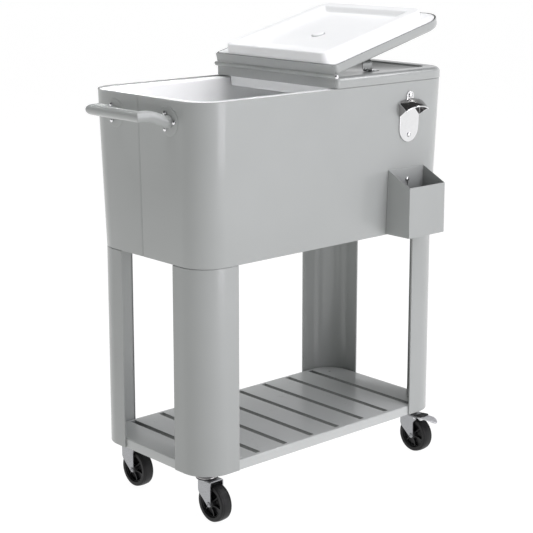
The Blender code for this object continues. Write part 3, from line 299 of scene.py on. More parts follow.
SLOT_LOOK = {"painted_steel": PAINT, "painted_hinge": HINGE_PAINT, "white_liner": LINER, "foam": FOAM, "chrome": CHROME,
             "zinc": ZINC, "wheel_black": TYRE, "seal": SEAL}
for entry in frame["record"]["subparts"]:
    node = NODES.get(entry["node"])
    if node is not None:
        look = SLOT_LOOK[entry["material_slot"]]
        if not node.material_slots:
            node.data.materials.append(look)
        for slot_ in node.material_slots:
            slot_.material = look

# ================================================================ stage, light and camera
FLOOR_GLOW = 0.965
KEY_POWER = 38.5
MID_POWER = 16.0
LOW_POWER = 12.0
TOP_POWER = 66.0
EDGE_POWER = 13.0
TANK_POWER = 0.42


def studio_floor():
    bm = bmesh.new()
    n, r = 96, 90.0
    for k in range(n):
        a = 2 * math.pi * k / n
        bm.verts.new((r * math.cos(a), r * math.sin(a), -0.0008))
    bm.faces.new(bm.verts)
    me = bpy.data.meshes.new("studio_floor")
    bm.to_mesh(me)
    bm.free()
    ob = bpy.data.objects.new("studio_floor", me)
    COLL.objects.link(ob)
    s = Shader("floor_white")
    s.set(Base_Color=s.mix(s.ramp(s.noise(1.7, 3.0), 0.3, 0.7), (0.13, 0.13, 0.13), (0.14, 0.14, 0.14)), Roughness=0.8)
    s.p.inputs["Emission Color"].default_value = (1, 1, 1, 1)
    s.p.inputs["Emission Strength"].default_value = FLOOR_GLOW
    s.p.inputs["Specular IOR Level"].default_value = 0.1
    me.materials.append(s.m)


def studio_world():
    """Sky brightness by direction: bright low on the right and behind, dim on the left and overhead."""
    w = bpy.data.worlds.new("studio")
    bpy.context.scene.world = w
    w.use_nodes = True
    t = w.node_tree
    bg = t.nodes["Background"]
    co = t.nodes.new("ShaderNodeTexCoord").outputs["Generated"]
    xyz = t.nodes.new("ShaderNodeSeparateXYZ")
    t.links.new(co, xyz.inputs[0])

    def node(op, a, b=0.0, c=0.0):
        n = t.nodes.new("ShaderNodeMath")
        n.operation = op
        for i, v in enumerate((a, b, c)):
            if isinstance(v, bpy.types.NodeSocket):
                t.links.new(v, n.inputs[i])
            else:
                n.inputs[i].default_value = v
        return n.outputs[0]

    def ramp(v, lo, hi, a, b):
        n = t.nodes.new("ShaderNodeMapRange")
        n.interpolation_type = "SMOOTHSTEP"
        n.inputs["From Min"].default_value = lo
        n.inputs["From Max"].default_value = hi
        n.inputs["To Min"].default_value = a
        n.inputs["To Max"].default_value = b
        t.links.new(v, n.inputs["Value"])
        return n.outputs["Result"]
    # a low bright band on the right and behind, dim above and on the left
    along = node("ADD", node("MULTIPLY", xyz.outputs[0], 0.80), node("MULTIPLY", xyz.outputs[1], 0.25))
    side = ramp(along, -0.55, 0.6, 0.0, 1.0)
    band = ramp(xyz.outputs[2], 0.05, 0.5, 1.0, 0.05)
    # the floor's glow fades out a little above the horizon
    rise = ramp(xyz.outputs[2], 0.0, 0.17, 0.93, 0.0)
    t.links.new(node("ADD", node("MAXIMUM", node("MULTIPLY", node("MULTIPLY", side, band), 1.1), rise), 0.030), bg.inputs["Strength"])
    bg.inputs["Color"].default_value = (0.985, 0.99, 1.0, 1.0)


def area_light(name, place, aim, width, height, power, rgb=(1, 1, 1)):
    d = bpy.data.lights.new(name, "AREA")
    d.shape = "RECTANGLE"
    d.size, d.size_y = width, height
    d.energy = power
    d.color = rgb
    ob = bpy.data.objects.new(name, d)
    ob.location = place
    ob.rotation_euler = (Vector(aim) - Vector(place)).to_track_quat("-Z", "Y").to_euler()
    COLL.objects.link(ob)
    return ob


studio_floor()
studio_world()
area_light("key", (0.6, -2.05, 3.0), (0.0, 0.0, 0.6), 2.4, 2.4, KEY_POWER, (1.0, 0.98, 1.03))
area_light("mid_front", (0.35, -2.7, 1.5), (0.1, 0.0, 0.35), 1.5, 1.5, MID_POWER, (1.0, 0.98, 1.03))
area_light("low_front", (0.6, -2.75, 0.62), (0.0, 0.0, 0.4), 1.5, 1.0, LOW_POWER, (1.0, 0.98, 1.03))
# a small panel high on the right that draws the bright line along rounded front edges
edge_panel = area_light("edge_panel", (1.87, -1.05, 2.40), (0.2, -0.15, 0.84), 0.4, 1.2, EDGE_POWER, (1.0, 1.0, 1.0))
away = Vector((1.67, -0.9, 1.56)).normalized()
along = (Vector((0.0, 0.93, 0.37)) - away * Vector((0.0, 0.93, 0.37)).dot(away)).normalized()
edge_panel.rotation_euler = Matrix((along.cross(away), along, away)).transposed().to_euler()
edge_panel.visible_diffuse = False
# a narrow lamp that reaches down into the open tank
tank_lamp = area_light("tank_lamp", (-0.02, -0.10, 2.0), (-0.26, 0.14, 0.76), 0.25, 0.25, TANK_POWER, (1.0, 1.0, 1.0))
tank_lamp.data.spread = math.radians(26)
tank_lamp.visible_glossy = False
# the overhead light only fills: the studio ceiling itself mirrors dark in bright metal
overhead = area_light("overhead", (-0.25, 0.35, 3.3), (-0.05, 0.02, 0.8), 2.6, 2.2, TOP_POWER, (0.99, 0.995, 1.0))
overhead.visible_glossy = False

CAM_YAW, CAM_PITCH = math.radians(48.007), math.radians(11.575)
cam_data = bpy.data.cameras.new("photo_view")
cam_data.sensor_width = 36.0
cam_data.lens = 1472.6 / 533.0 * 36.0
cam_data.shift_y = -0.1
cam_data.clip_end = 200.0
cam = bpy.data.objects.new("photo_view", cam_data)
cam.location = (-1.9995, -2.1743, 1.1533)
gaze = Vector((math.cos(CAM_YAW) * math.cos(CAM_PITCH), math.sin(CAM_YAW) * math.cos(CAM_PITCH), -math.sin(CAM_PITCH)))
cam.rotation_euler = gaze.to_track_quat("-Z", "Y").to_euler()
COLL.objects.link(cam)
bpy.context.scene.camera = cam
bpy.context.scene.view_settings.view_transform = "Standard"

# ================================================================ shape helpers
def to_object(name, bm, look, smooth=32):
    bmesh.ops.recalc_face_normals(bm, faces=bm.faces)
    me = bpy.data.meshes.new(name)
    bm.to_mesh(me)
    bm.free()
    me.shade_smooth()
    me.set_sharp_from_angle(angle=math.radians(smooth))
    ob = bpy.data.objects.new(name, me)
    COLL.objects.link(ob)
    me.materials.append(look)
    return ob


def stack(name, rings, look, closed=False, smooth=32):
    """A body through rings of equal count: capped at both ends, or joined end to end."""
    bm = bmesh.new()
    rows = [[bm.verts.new(p) for p in r] for r in rings]
    n = len(rows[0])
    pairs = list(zip(rows, rows[1:])) + ([(rows[-1], rows[0])] if closed else [])
    for a, b in pairs:
        for i in range(n):
            j = (i + 1) % n
            bm.faces.new((a[i], a[j], b[j], b[i]))
    if not closed:
        bm.faces.new(rows[0])
        bm.faces.new(list(reversed(rows[-1])))
    return to_object(name, bm, look, smooth)


def rrect(x0, x1, y0, y1, r0, r1, n=16):
    pts = []
    for cx, cy, r, start in ((x1, y1, r1, 0), (x0, y1, r0, 90), (x0, y0, r0, 180), (x1, y0, r1, 270)):
        sx = -1 if cx == x1 else 1
        sy = -1 if cy == y1 else 1
        ox, oy = cx + sx * r, cy + sy * r
        for k in range(n + 1):
            t = math.radians(start + 90 * k / n)
            pts.append((ox + r * math.cos(t), oy + r * math.sin(t)))
    return pts


def at(outline, z):
    return [(x, y, z) for x, y in outline]


def circle(r, n, cx=0.0, cy=0.0, turn=0.5):
    return [(cx + r * math.cos(2 * math.pi * (k + turn) / n), cy + r * math.sin(2 * math.pi * (k + turn) / n))
            for k in range(n)]


def on_axis(ring, h, axis):
    if axis == "Z":
        return [(x, y, h) for x, y in ring]
    if axis == "X":
        return [(h, x, y) for x, y in ring]
    return [(y, h, x) for x, y in ring]


def lathe(name, profile, look, n=48, axis="Z", smooth=32):
    """profile: (radius, distance along the axis), no point on the axis."""
    return stack(name, [on_axis(circle(r, n), h, axis) for r, h in profile], look, False, smooth)


def lathe_ring(name, profile, look, n=48, axis="Z", smooth=32):
    return stack(name, [on_axis(circle(r, n, 0, 0, 0), h, axis) for r, h in profile], look, True, smooth)


def prism(name, outline, lo, hi, plane, look, smooth=32):
    def put(u, v, w):
        return (u, v, w) if plane == "XY" else ((w, u, v) if plane == "YZ" else (u, w, v))
    return stack(name, [[put(u, v, lo) for u, v in outline], [put(u, v, hi) for u, v in outline]], look, False, smooth)


def box(name, x0, x1, y0, y1, z0, z1, look):
    return prism(name, [(x0, y0), (x1, y0), (x1, y1), (x0, y1)], z0, z1, "XY", look)


def arc(cx, cy, r, a0, a1, n):
    return [(cx + r * math.cos(math.radians(a0 + (a1 - a0) * k / n)),
             cy + r * math.sin(math.radians(a0 + (a1 - a0) * k / n))) for k in range(n + 1)]


def with_normals(path):
    out = []
    n = len(path)
    for i, p in enumerate(path):
        def unit(a, b):
            d = math.hypot(b[0] - a[0], b[1] - a[1])
            return ((b[0] - a[0]) / d, (b[1] - a[1]) / d)
        t0 = unit(path[i - 1], p) if i else unit(p, path[1])
        t1 = unit(p, path[i + 1]) if i < n - 1 else t0
        n0, n1 = (-t0[1], t0[0]), (-t1[1], t1[0])
        k = 1 + n0[0] * n1[0] + n0[1] * n1[1]
        out.append((p[0], p[1], (n0[0] + n1[0]) / k, (n0[1] + n1[1]) / k))
    return out


def sweep(name, path_at, profile, look, smooth=32):
    """A closed profile of (distance inwards, z) carried along the open path that path_at(z) gives."""
    bm = bmesh.new()
    rows = []
    for d, z in profile:
        rows.append([bm.verts.new((x + nx * d, y + ny * d, z)) for x, y, nx, ny in with_normals(path_at(z))])
    n = len(rows[0])
    for k, a in enumerate(rows):
        b = rows[(k + 1) % len(rows)]
        for i in range(n - 1):
            bm.faces.new((a[i], a[i + 1], b[i + 1], b[i]))
    bm.faces.new([r[0] for r in rows])
    bm.faces.new([r[-1] for r in reversed(rows)])
    return to_object(name, bm, look, smooth)


def strap(name, path, t, lo, hi, look):
    st = with_normals(path)
    bm = bmesh.new()
    rows = []
    for side, x in ((0.5, lo), (0.5, hi), (-0.5, hi), (-0.5, lo)):
        rows.append([bm.verts.new((x, u + nu * t * side, v + nv * t * side)) for u, v, nu, nv in st])
    n = len(rows[0])
    for k, a in enumerate(rows):
        b = rows[(k + 1) % 4]
        for i in range(n - 1):
            bm.faces.new((a[i], a[i + 1], b[i + 1], b[i]))
    bm.faces.new([r[0] for r in rows])
    bm.faces.new([r[-1] for r in reversed(rows)])
    return to_object(name, bm, look)


def settle(ob, *tools, smooth=32):
    bpy.context.view_layer.update()
    seen = ob.evaluated_get(bpy.context.evaluated_depsgraph_get())
    me = bpy.data.meshes.new_from_object(seen)
    look = list(ob.data.materials)
    ob.modifiers.clear()
    ob.data = me
    me.materials.clear()
    me.materials.append(look[0])
    me.polygons.foreach_set("material_index", [0] * len(me.polygons))
    me.shade_smooth()
    me.set_sharp_from_angle(angle=math.radians(smooth))
    for t in tools:
        bpy.data.objects.remove(t, do_unlink=True)
    return ob


def combine(ob, operation, others):
    for o in others:
        m = ob.modifiers.new(operation.lower(), "BOOLEAN")
        m.operation = operation
        m.solver = "EXACT"
        m.object = o
        settle(ob, o)
    return ob


def united(ob, *others):
    return combine(ob, "UNION", others)


def cut(ob, *others):
    return combine(ob, "DIFFERENCE", others)


def common(ob, *others):
    return combine(ob, "INTERSECT", others)


def transform(ob, m):
    ob.data.transform(m)
    if m.determinant() < 0:
        ob.data.flip_normals()
    return ob


def soften(ob, width, segments=2, angle=40):
    """Rounded edges, with the flat faces kept flat in the shading."""
    b = ob.modifiers.new("edges", "BEVEL")
    b.width = width
    b.segments = segments
    b.limit_method = "ANGLE"
    b.angle_limit = math.radians(angle)
    b.harden_normals = True
    b.use_clamp_overlap = True
    b.miter_outer = "MITER_ARC"
    return ob


def copy_of(ob, name):
    new = bpy.data.objects.new(name, ob.data.copy())
    COLL.objects.link(new)
    for m in ob.modifiers:
        c = new.modifiers.new(m.name, m.type)
        for k in ("width", "segments", "limit_method", "angle_limit", "harden_normals", "use_clamp_overlap", "miter_outer"):
            setattr(c, k, getattr(m, k))
    return new


def drop(*obs):
    for o in obs:
        bpy.data.objects.remove(o, do_unlink=True)


def piece(ob, body, slot, *nodes):
    """Finished piece in construction coordinates: moved to the row frame, riding a body, standing for nodes."""
    ob.data.transform(Matrix.Translation((0, SHIFT_Y, 0)))
    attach(ob, body)
    if nodes:
        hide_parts(*nodes)
    return ob


def ease(a, b, n):
    """Steps from a to b that start and end slowly."""
    return [a + (b - a) * (0.5 - 0.5 * math.cos(math.pi * k / n)) for k in range(n + 1)]


# ================================================================ tank
def share(z):
    return (z - TANK_LOW_Z) / (RIM_Z - TANK_LOW_Z)


def half_x(z):
    return LOW_X + (TOP_X - LOW_X) * share(z)


def half_y(z):
    return LOW_Y + (TOP_Y - LOW_Y) * share(z)


def tank_outline(z, d=0.0, n=22):
    a, b, r = half_x(z) - d, half_y(z) - d, CORNER_R - d
    return rrect(-a, a, -b, b, r, r, n)


END_TILT = math.atan2(TOP_X - LOW_X, RIM_Z - TANK_LOW_Z)
FRONT_TILT = math.atan2(TOP_Y - LOW_Y, RIM_Z - TANK_LOW_Z)


def end_wall(side, y, z):
    m = Matrix.Translation((side * half_x(z), y, z))
    if side < 0:
        m = m @ Matrix.Rotation(math.pi, 4, "Z")
    return m @ Matrix.Rotation(END_TILT, 4, "Y")


def front_wall(x, z):
    return Matrix.Translation((x, -half_y(z), z)) @ Matrix.Rotation(FRONT_TILT, 4, "X")


def shell_path(front):
    def path(z):
        a, b, r = half_x(z), half_y(z), CORNER_R
        s = -1 if front else 1
        corner_l = arc(-a + r, s * (b - r), r, 180, 270 if front else 90, 22)
        corner_r = arc(a - r, s * (b - r), r, -90 if front else 90, 0, 22)
        j = 1.4 * MM
        if front:
            return [(-a, 7.5 * MM)] + corner_l + corner_r + [(a, 7.5 * MM)]
        left = [(-a + j, -8 * MM)] + [(-a + q, (9 + 4 * k / 6) * MM) for k, q in enumerate(ease(j, 0, 6))]
        right = [(-x, y) for x, y in reversed(left)]
        pts = left + corner_l + corner_r + right
        pts.reverse()
        return pts
    return path


def rim_profile(hem):
    low = [(0.0, TANK_LOW_Z + 0.45 * MM), (0.0, RIM_Z - 160 * MM)]
    foot = [(SHEET, TANK_LOW_Z + 0.3 * MM), (SHEET - 0.3 * MM, TANK_LOW_Z), (0.3 * MM, TANK_LOW_Z), (0.09 * MM, TANK_LOW_Z + 0.13 * MM)]
    if not hem:
        return low + [(0, RIM_Z - 0.3 * MM), (0.3 * MM, RIM_Z), (SHEET - 0.3 * MM, RIM_Z), (SHEET, RIM_Z - 0.3 * MM)] + foot
    r = HEM_T / 2
    roll = [(r - r * math.cos(math.radians(a)), RIM_Z - r + r * math.sin(math.radians(a))) for a in range(0, 181, 20)]
    return low + roll + [(HEM_T, RIM_Z - HEM_H + 0.5 * MM), (HEM_T - 0.5 * MM, RIM_Z - HEM_H), (SHEET, RIM_Z - HEM_H)] + foot


shell_f = sweep("tank_sheet_front", shell_path(True), rim_profile(True), PAINT)
for side in (-1, 1):
    x0, x1 = sorted((side * (TOP_X - SHEET - 0.05 * MM), side * (TOP_X - 12 * MM)))
    cut(shell_f, box("hem_relief", x0, x1, -14 * MM, 20 * MM, RIM_Z - HEM_H - 2 * MM, RIM_Z + 2 * MM, PAINT))
piece(shell_f, "cart", "painted_steel", "shell_front")
shell_b = sweep("tank_sheet_back", shell_path(False), rim_profile(False), PAINT)
# painted shade: the top edge of the back sheet gets a near-black paint that draws a dark rim line
shell_b.data.materials.append(SHADED_EDGE)
for f in shell_b.data.polygons:
    if f.center.z > RIM_Z - 1.4 * MM:
        f.material_index = 1
piece(shell_b, "cart", "painted_steel", "shell_back")

piece(stack("tank_pan", [
    at(tank_outline(TANK_LOW_Z, 2.4 * MM + GAP + 1.6 * MM), TANK_LOW_Z + 0.4 * MM),
    at(tank_outline(TANK_LOW_Z, 2.4 * MM + GAP + 0.5 * MM), TANK_LOW_Z + 0.6 * MM),
    at(tank_outline(TANK_LOW_Z + 2 * MM, 2.4 * MM + GAP), TANK_LOW_Z + 1.6 * MM),
    at(tank_outline(TANK_LOW_Z + 13 * MM, 2.4 * MM + GAP + 0.25 * MM), TANK_LOW_Z + 13 * MM),
    at(tank_outline(TANK_LOW_Z + 13 * MM, 2.4 * MM + GAP + 1.35 * MM), TANK_LOW_Z + 13 * MM),
    at(tank_outline(TANK_LOW_Z + 2 * MM, 2.4 * MM + GAP + 1.3 * MM), TANK_LOW_Z + 2.6 * MM),
    at(tank_outline(TANK_LOW_Z, 2.4 * MM + GAP + 2.6 * MM), TANK_LOW_Z + 1.6 * MM)], PAINT), "cart", "painted_steel", "bottom_pan")


def liner_outline(z, d=0.0, n=18):
    f = (z - LINER_FLOOR_Z) / (RIM_Z - LINER_FLOOR_Z)
    a = LINER_LOW_X + (TOP_X - MOUTH - LINER_LOW_X) * f - d
    b = LINER_LOW_Y + (TOP_Y - MOUTH - LINER_LOW_Y) * f - d
    r = LINER_LOW_R + (CORNER_R - MOUTH - LINER_LOW_R) * f - d
    return rrect(-a, a, -b, b, r, r, n)


LIP_Z = RIM_Z - 0.5 * MM


def tank_liner():
    rings = []
    fillet = 12 * MM
    for a in range(0, 91, 15):
        c, s_ = math.cos(math.radians(a)), math.sin(math.radians(a))
        rings.append(at(liner_outline(LINER_FLOOR_Z, fillet * (1 - s_)), LINER_FLOOR_Z + fillet * (1 - c)))
    rings.append(at(liner_outline(RIM_Z - 150 * MM, 0), RIM_Z - 150 * MM))
    for a in range(0, 91, 15):
        c, s_ = math.cos(math.radians(a)), math.sin(math.radians(a))
        rings.append(at(liner_outline(RIM_Z - 4.5 * MM * (1 - s_), -4.5 * MM * (1 - c)), LIP_Z - 4.5 * MM * (1 - s_)))
    rings += [at(tank_outline(RIM_Z, HEM_T + GAP + 0.5 * MM, 18), LIP_Z), at(tank_outline(RIM_Z, HEM_T + GAP, 18), LIP_Z - 0.5 * MM),
              at(tank_outline(RIM_Z, HEM_T + GAP, 18), LIP_Z - LINER_T), at(liner_outline(RIM_Z, -6 * MM), LIP_Z - LINER_T),
              at(liner_outline(RIM_Z - 6 * MM, -LINER_T), RIM_Z - 6 * MM),
              at(liner_outline(LINER_FLOOR_Z + 6 * MM, -LINER_T), LINER_FLOOR_Z + 6 * MM),
              at(liner_outline(LINER_FLOOR_Z, 0.5 * MM), LINER_FLOOR_Z - 1 * MM),
              at(liner_outline(LINER_FLOOR_Z, 7 * MM), LINER_FLOOR_Z - LINER_T)]
    ob = stack("tank_liner_moulding", rings, LINER, False, 40)
    # along the back wall the sheet stands a little above the liner's lip
    for v in ob.data.vertices:
        if v.co.z > RIM_Z - 8 * MM:
            v.co.z -= 1.9 * MM * min(max((v.co.y - 20 * MM) / (80 * MM), 0.0), 1.0)
    return ob


piece(tank_liner(), "cart", "white_liner", "tank_liner")

# ================================================================ legs
LEG_E = 0.05 * MM


def leg_path(z):
    r = CORNER_R
    return [(-LOW_X, -LOW_Y + LEG_WING_Y)] + arc(-LOW_X + r, -LOW_Y + r, r, 180, 270, 26) + [(-LOW_X + LEG_WING_X, -LOW_Y)]


def leg_mesh():
    top = [(0, LEG_TOP_Z)] + [(2.5 * MM * (1 - math.cos(math.radians(a))), LEG_TOP_Z + 2.4 * MM * math.sin(math.radians(a)))
                              for a in (18, 36, 54, 72, 90)]
    back = [(12 * MM, LEG_TOP_Z + 2.4 * MM), (12 * MM, LEG_TOP_Z + 1.2 * MM), (3 * MM, LEG_TOP_Z + 1.2 * MM),
            (LEG_T, LEG_TOP_Z - 0.8 * MM), (LEG_T, LEG_LOW_Z)]
    leg = sweep("leg", leg_path, [(0, LEG_LOW_Z)] + top + back, PAINT)
    united(leg,
           box("return_x", -LOW_X + LEG_WING_X - LEG_T, -LOW_X + LEG_WING_X - LEG_E, -LOW_Y + 0.5 * MM,
               -LOW_Y + 2.9 * MM, SHELF_Z + 3 * MM, LEG_TOP_Z - 2 * MM, PAINT),
           box("return_y", -LOW_X + 0.5 * MM, -LOW_X + 2.9 * MM, -LOW_Y + LEG_WING_Y - LEG_T,
               -LOW_Y + LEG_WING_Y - LEG_E, SHELF_Z + 3 * MM, LEG_TOP_Z - 2 * MM, PAINT),
           box("hem_x", -LOW_X + LEG_WING_X - LEG_T - 0.02 * MM, -LOW_X + LEG_WING_X - LEG_E - 0.02 * MM, -LOW_Y + 0.6 * MM,
               -LOW_Y + 3.2 * MM, LEG_LOW_Z + 0.6 * MM, SHELF_Z + 3.6 * MM, PAINT),
           box("hem_y", -LOW_X + 0.6 * MM, -LOW_X + 3.2 * MM, -LOW_Y + LEG_WING_Y - LEG_T - 0.02 * MM,
               -LOW_Y + LEG_WING_Y - LEG_E - 0.02 * MM, LEG_LOW_Z + 0.6 * MM, SHELF_Z + 3.6 * MM, PAINT))
    return soften(leg, 0.42 * MM, 2, 50)


leg = leg_mesh()
CORNERS = {"front_left": (-1, -1), "back_left": (-1, 1), "front_right": (1, -1), "back_right": (1, 1)}
for place, (sx, sy) in CORNERS.items():
    one = copy_of(leg, "leg_sheet_" + place)
    transform(one, Matrix.Diagonal((-sx, -sy, 1, 1)))
    piece(one, "cart", "painted_steel", "leg_" + place)
drop(leg)


# ================================================================ shelf
def shelf_outline(d):
    a, b, r = LOW_X - SHELF_INSET - d, LOW_Y - SHELF_INSET - d, CORNER_R - SHELF_INSET - d
    return rrect(-a, a, -b, b, r, r, 24)


def shelf_mesh():
    rings = [at(shelf_outline(3 * MM), SHELF_Z - 1.2 * MM), at(shelf_outline(1.8 * MM), SHELF_Z - 1.6 * MM),
             at(shelf_outline(1.2 * MM), SHELF_Z - 3 * MM), at(shelf_outline(1.2 * MM), SHELF_LIP_Z + 0.2 * MM),
             at(shelf_outline(0.95 * MM), SHELF_LIP_Z), at(shelf_outline(0.25 * MM), SHELF_LIP_Z), at(shelf_outline(0), SHELF_LIP_Z + 0.25 * MM)]
    r = 2.6 * MM
    for a in range(0, 91, 15):
        rings.append(at(shelf_outline(r - r * math.cos(math.radians(a))), SHELF_Z - r + r * math.sin(math.radians(a))))
    ob = stack("shelf_sheet", rings, SHELF_PAINT_LIT)
    lips, cuts = [], []
    for k in range(8):
        x = (k - 3.5) * SLOT_PITCH
        w, h = SLOT_W / 2 + 0.9 * MM, SLOT_HALF
        lips.append(prism("slot_lip", rrect(x - w - 1.0 * MM, x + w + 1.0 * MM, -h - 1 * MM, h + 1 * MM, 2 * MM, 2 * MM, 4),
                          SHELF_Z - 14.0 * MM, SHELF_Z - 0.6 * MM, "XY", SHELF_PAINT_LIT))
        cuts.append(prism("slot", rrect(x - w, x + w, -h, h, 1.4 * MM, 1.4 * MM, 4), SHELF_Z - 17 * MM, SHELF_Z + 4 * MM, "XY", SLOT_SHADE))
    for sx in (1,):
        for sy in (-1, 1):
            cuts.append(transform(lathe("stem_dimple", [(0.6 * MM, SHELF_Z - 1.0 * MM), (2.2 * MM, SHELF_Z - 0.9 * MM), (3.0 * MM, SHELF_Z - 0.5 * MM), (3.4 * MM, SHELF_Z + 0.3 * MM),
                                                        (3.4 * MM, SHELF_Z + 3 * MM)], SLOT_SHADE, 28), Matrix.Translation((sx * STEM_X, sy * STEM_Y, 0))))
    united(ob, *lips)
    cut(ob, *cuts)
    soften(ob, 0.3 * MM, 2, 60)
    # painted shade: the insides of the slots and dimples get a dark grey; painted light and shade: the lip and
    # underside get a darker copy of the shelf paint than the top
    ob.data.materials.append(SLOT_SHADE)
    ob.data.materials.append(SHELF_LIP_PAINT_SHADED)
    for f in ob.data.polygons:
        c = f.center
        if c.z < SHELF_Z - 1.0 * MM:
            f.material_index = 2
        near = min(abs(c.x - (k - 3.5) * SLOT_PITCH) for k in range(8)) < SLOT_W / 2 + 0.95 * MM and abs(c.y) < SLOT_HALF + 0.05 * MM
        dimple = math.hypot(abs(c.x) - STEM_X, abs(c.y) - STEM_Y) < 3.6 * MM
        if (near or dimple) and SHELF_LIP_Z < c.z < SHELF_Z - 0.35 * MM:
            f.material_index = 1
    return ob


piece(shelf_mesh(), "cart", "painted_steel", "shelf")


# ================================================================ casters
def stem_mesh():
    p = [(7.2, 77.6), (8.0, 78.2), (8.0, 80.0), (5.0, 80.1), (5.0, 83.4), (19.8, 83.55), (21.2, 84.0), (22.0, 85.2), (22.0, 86.4),
         (21.3, 87.6), (19.6, 88.8), (16.5, 89.6), (13.0, 90.0), (10.2, 90.2), (9.6, 90.8), (9.5, 92.5), (9.5, 94.6), (8.9, 95.0), (5.0, 95.0)]
    for k in range(9):
        z = 95.6 + 1.5 * k
        p += [(4.55, z), (5.0, z + 0.45), (5.0, z + 0.75), (4.55, z + 1.2)]
    p += [(4.4, 109.2), (3.9, 109.5)]
    # painted shade: the stem and race take the darkened chrome for the shade under the leg
    return lathe("stem", [(r * MM, z * MM) for r, z in p], CHROME_PAINTED_SHADE, 40)


def fork_mesh(name, braked):
    o, i = FORK_IN + FORK_T, FORK_IN
    z1, z0 = 83 * MM, 30 * MM
    r, q = 3.5 * MM, 1.5 * MM
    steps = [90 * k / 7 for k in range(8)]
    outer = [(-o, z0)] + [(-o + r - r * math.cos(math.radians(a)), z1 - r + r * math.sin(math.radians(a))) for a in steps]
    outer += [(o - r + r * math.sin(math.radians(a)), z1 - r + r * math.cos(math.radians(a))) for a in steps] + [(o, z0)]
    inner = [(i, z0)] + [(i - q + q * math.cos(math.radians(a)), z1 - FORK_T - q + q * math.sin(math.radians(a))) for a in steps]
    inner += [(-i + q - q * math.sin(math.radians(a)), z1 - FORK_T - q + q * math.cos(math.radians(a))) for a in steps] + [(-i, z0)]
    front = -37.5 * MM if braked else -29.8 * MM
    fork = prism(name, outer + inner, front, 7 * MM, "XZ", ZINC)
    tip = arc(-TRAIL, WHEEL_R, 6 * MM, -180, -32, 18)
    low_front = -TRAIL - 5.4 * MM
    keep = [(8 * MM, 90 * MM), (-45 * MM, 90 * MM)]
    if braked:
        keep += [(-45 * MM, 74.5 * MM), (-37.4 * MM, 74.5 * MM), (-36 * MM, 73.6 * MM), (low_front - 1.4 * MM, 69.6 * MM), (low_front, 66.8 * MM)]
    else:
        keep += [(-45 * MM, 76 * MM), (-36 * MM, 70 * MM), (low_front, 66 * MM)]
    keep += [(low_front, WHEEL_R + 2 * MM)] + tip[1:] + [(4.3 * MM, 53.6 * MM), (6.0 * MM, 57.2 * MM), (7.1 * MM, 60.5 * MM), (8 * MM, 64 * MM)]
    common(fork, prism("fork_side", keep, -20 * MM, 20 * MM, "YZ", ZINC))
    if braked:
        cut(fork, box("pedal_gap", -FORK_IN - 0.2 * MM, FORK_IN + 0.2 * MM, -45 * MM, -29.8 * MM, 70 * MM, 90 * MM, ZINC))
    united(fork, lathe("fork_disc", [(20.0 * MM, 81.1 * MM), (21.1 * MM, 81.5 * MM), (21.5 * MM, 82.0 * MM), (21.2 * MM, 82.6 * MM),
                                     (20.6 * MM, 82.93 * MM)], ZINC, 56))
    cut(fork, lathe("king_hole", [(5.5 * MM, 76 * MM), (5.5 * MM, 88 * MM)], ZINC, 28))
    cut(fork, transform(lathe("axle_hole", [(3.4 * MM, -25 * MM), (3.4 * MM, 25 * MM)], ZINC, 24, "X"),
                        Matrix.Translation((0, -TRAIL, WHEEL_R))))
    if braked:
        cut(fork, transform(lathe("pin_hole", [(2.5 * MM, -25 * MM), (2.5 * MM, 25 * MM)], ZINC, 20, "X"),
                            Matrix.Translation((0, PEDAL_Y, PEDAL_Z))))
    return soften(fork, 0.35 * MM, 2, 45)


def tyre_mesh():
    half = [(27.4, 0), (27.3, 8.6), (27.6, 10.6), (28.4, 11.7), (29.6, 12.0), (34.6, 12.0), (35.4, 11.85), (36.0, 11.45), (36.4, 10.8),
            (36.65, 9.9), (37.05, 7.6), (36.7, 7.35), (36.7, 6.95), (37.15, 6.7), (37.4, 4.0), (37.5, 1.6), (37.5, 0)]
    loop = half + [(r, -x) for r, x in reversed(half[1:-1])]
    return lathe_ring("tyre", [(r * MM, x * MM) for r, x in loop], TYRE, 96, "X")


def hub_mesh():
    """Moulded hub: boss, dished web and six ribs on each side."""
    half = [(3.4, 0), (3.4, 13.9), (3.8, 14.2), (7.6, 14.2), (8.4, 13.9), (8.7, 13.0), (9.2, 5.0), (9.7, 3.9), (10.8, 3.4), (23.2, 3.2), (24.3, 3.6),
            (25.0, 4.6), (25.6, 8.8), (26.0, 9.6), (26.6, 9.9), (27.0, 9.5), (27.05, 0)]
    loop = half + [(r, -x) for r, x in reversed(half[1:-1])]
    hub = lathe_ring("hub", [(r * MM, x * MM) for r, x in loop], HUB, 72, "X")
    for k in range(6):
        for sgn in (-1, 1):
            rib = prism("rib", [(7.8 * MM, 3.0 * MM), (25.5 * MM, 3.0 * MM), (25.5 * MM, 8.2 * MM), (16 * MM, 8.6 * MM), (11 * MM, 10.4 * MM), (7.8 * MM, 12.4 * MM)],
                        -0.95 * MM, 0.95 * MM, "YZ", HUB)      # x = thickness, y = radius, z = along the axle
            m = Matrix(((0, 0, sgn, 0), (0, 1, 0, 0), (1, 0, 0, 0), (0, 0, 0, 1)))   # z -> x, y stays, x -> z
            transform(rib, m)
            transform(rib, Matrix.Rotation(math.radians(60 * k + 17), 4, "X"))
            united(hub, rib)
    return soften(hub, 0.28 * MM, 2, 50)


def axle_mesh():
    head = [(2.9, 17.0), (3.9, 17.0), (4.05, 17.15), (4.0, 17.5), (3.7, 17.95), (3.1, 18.25), (2.3, 18.35), (1.9, 18.1), (1.5, 17.3), (0.8, 17.1)]
    prof = [(r, -x) for r, x in reversed(head)] + head
    return lathe("axle", [(r * MM, x * MM) for r, x in prof], ZINC, 36, "X")


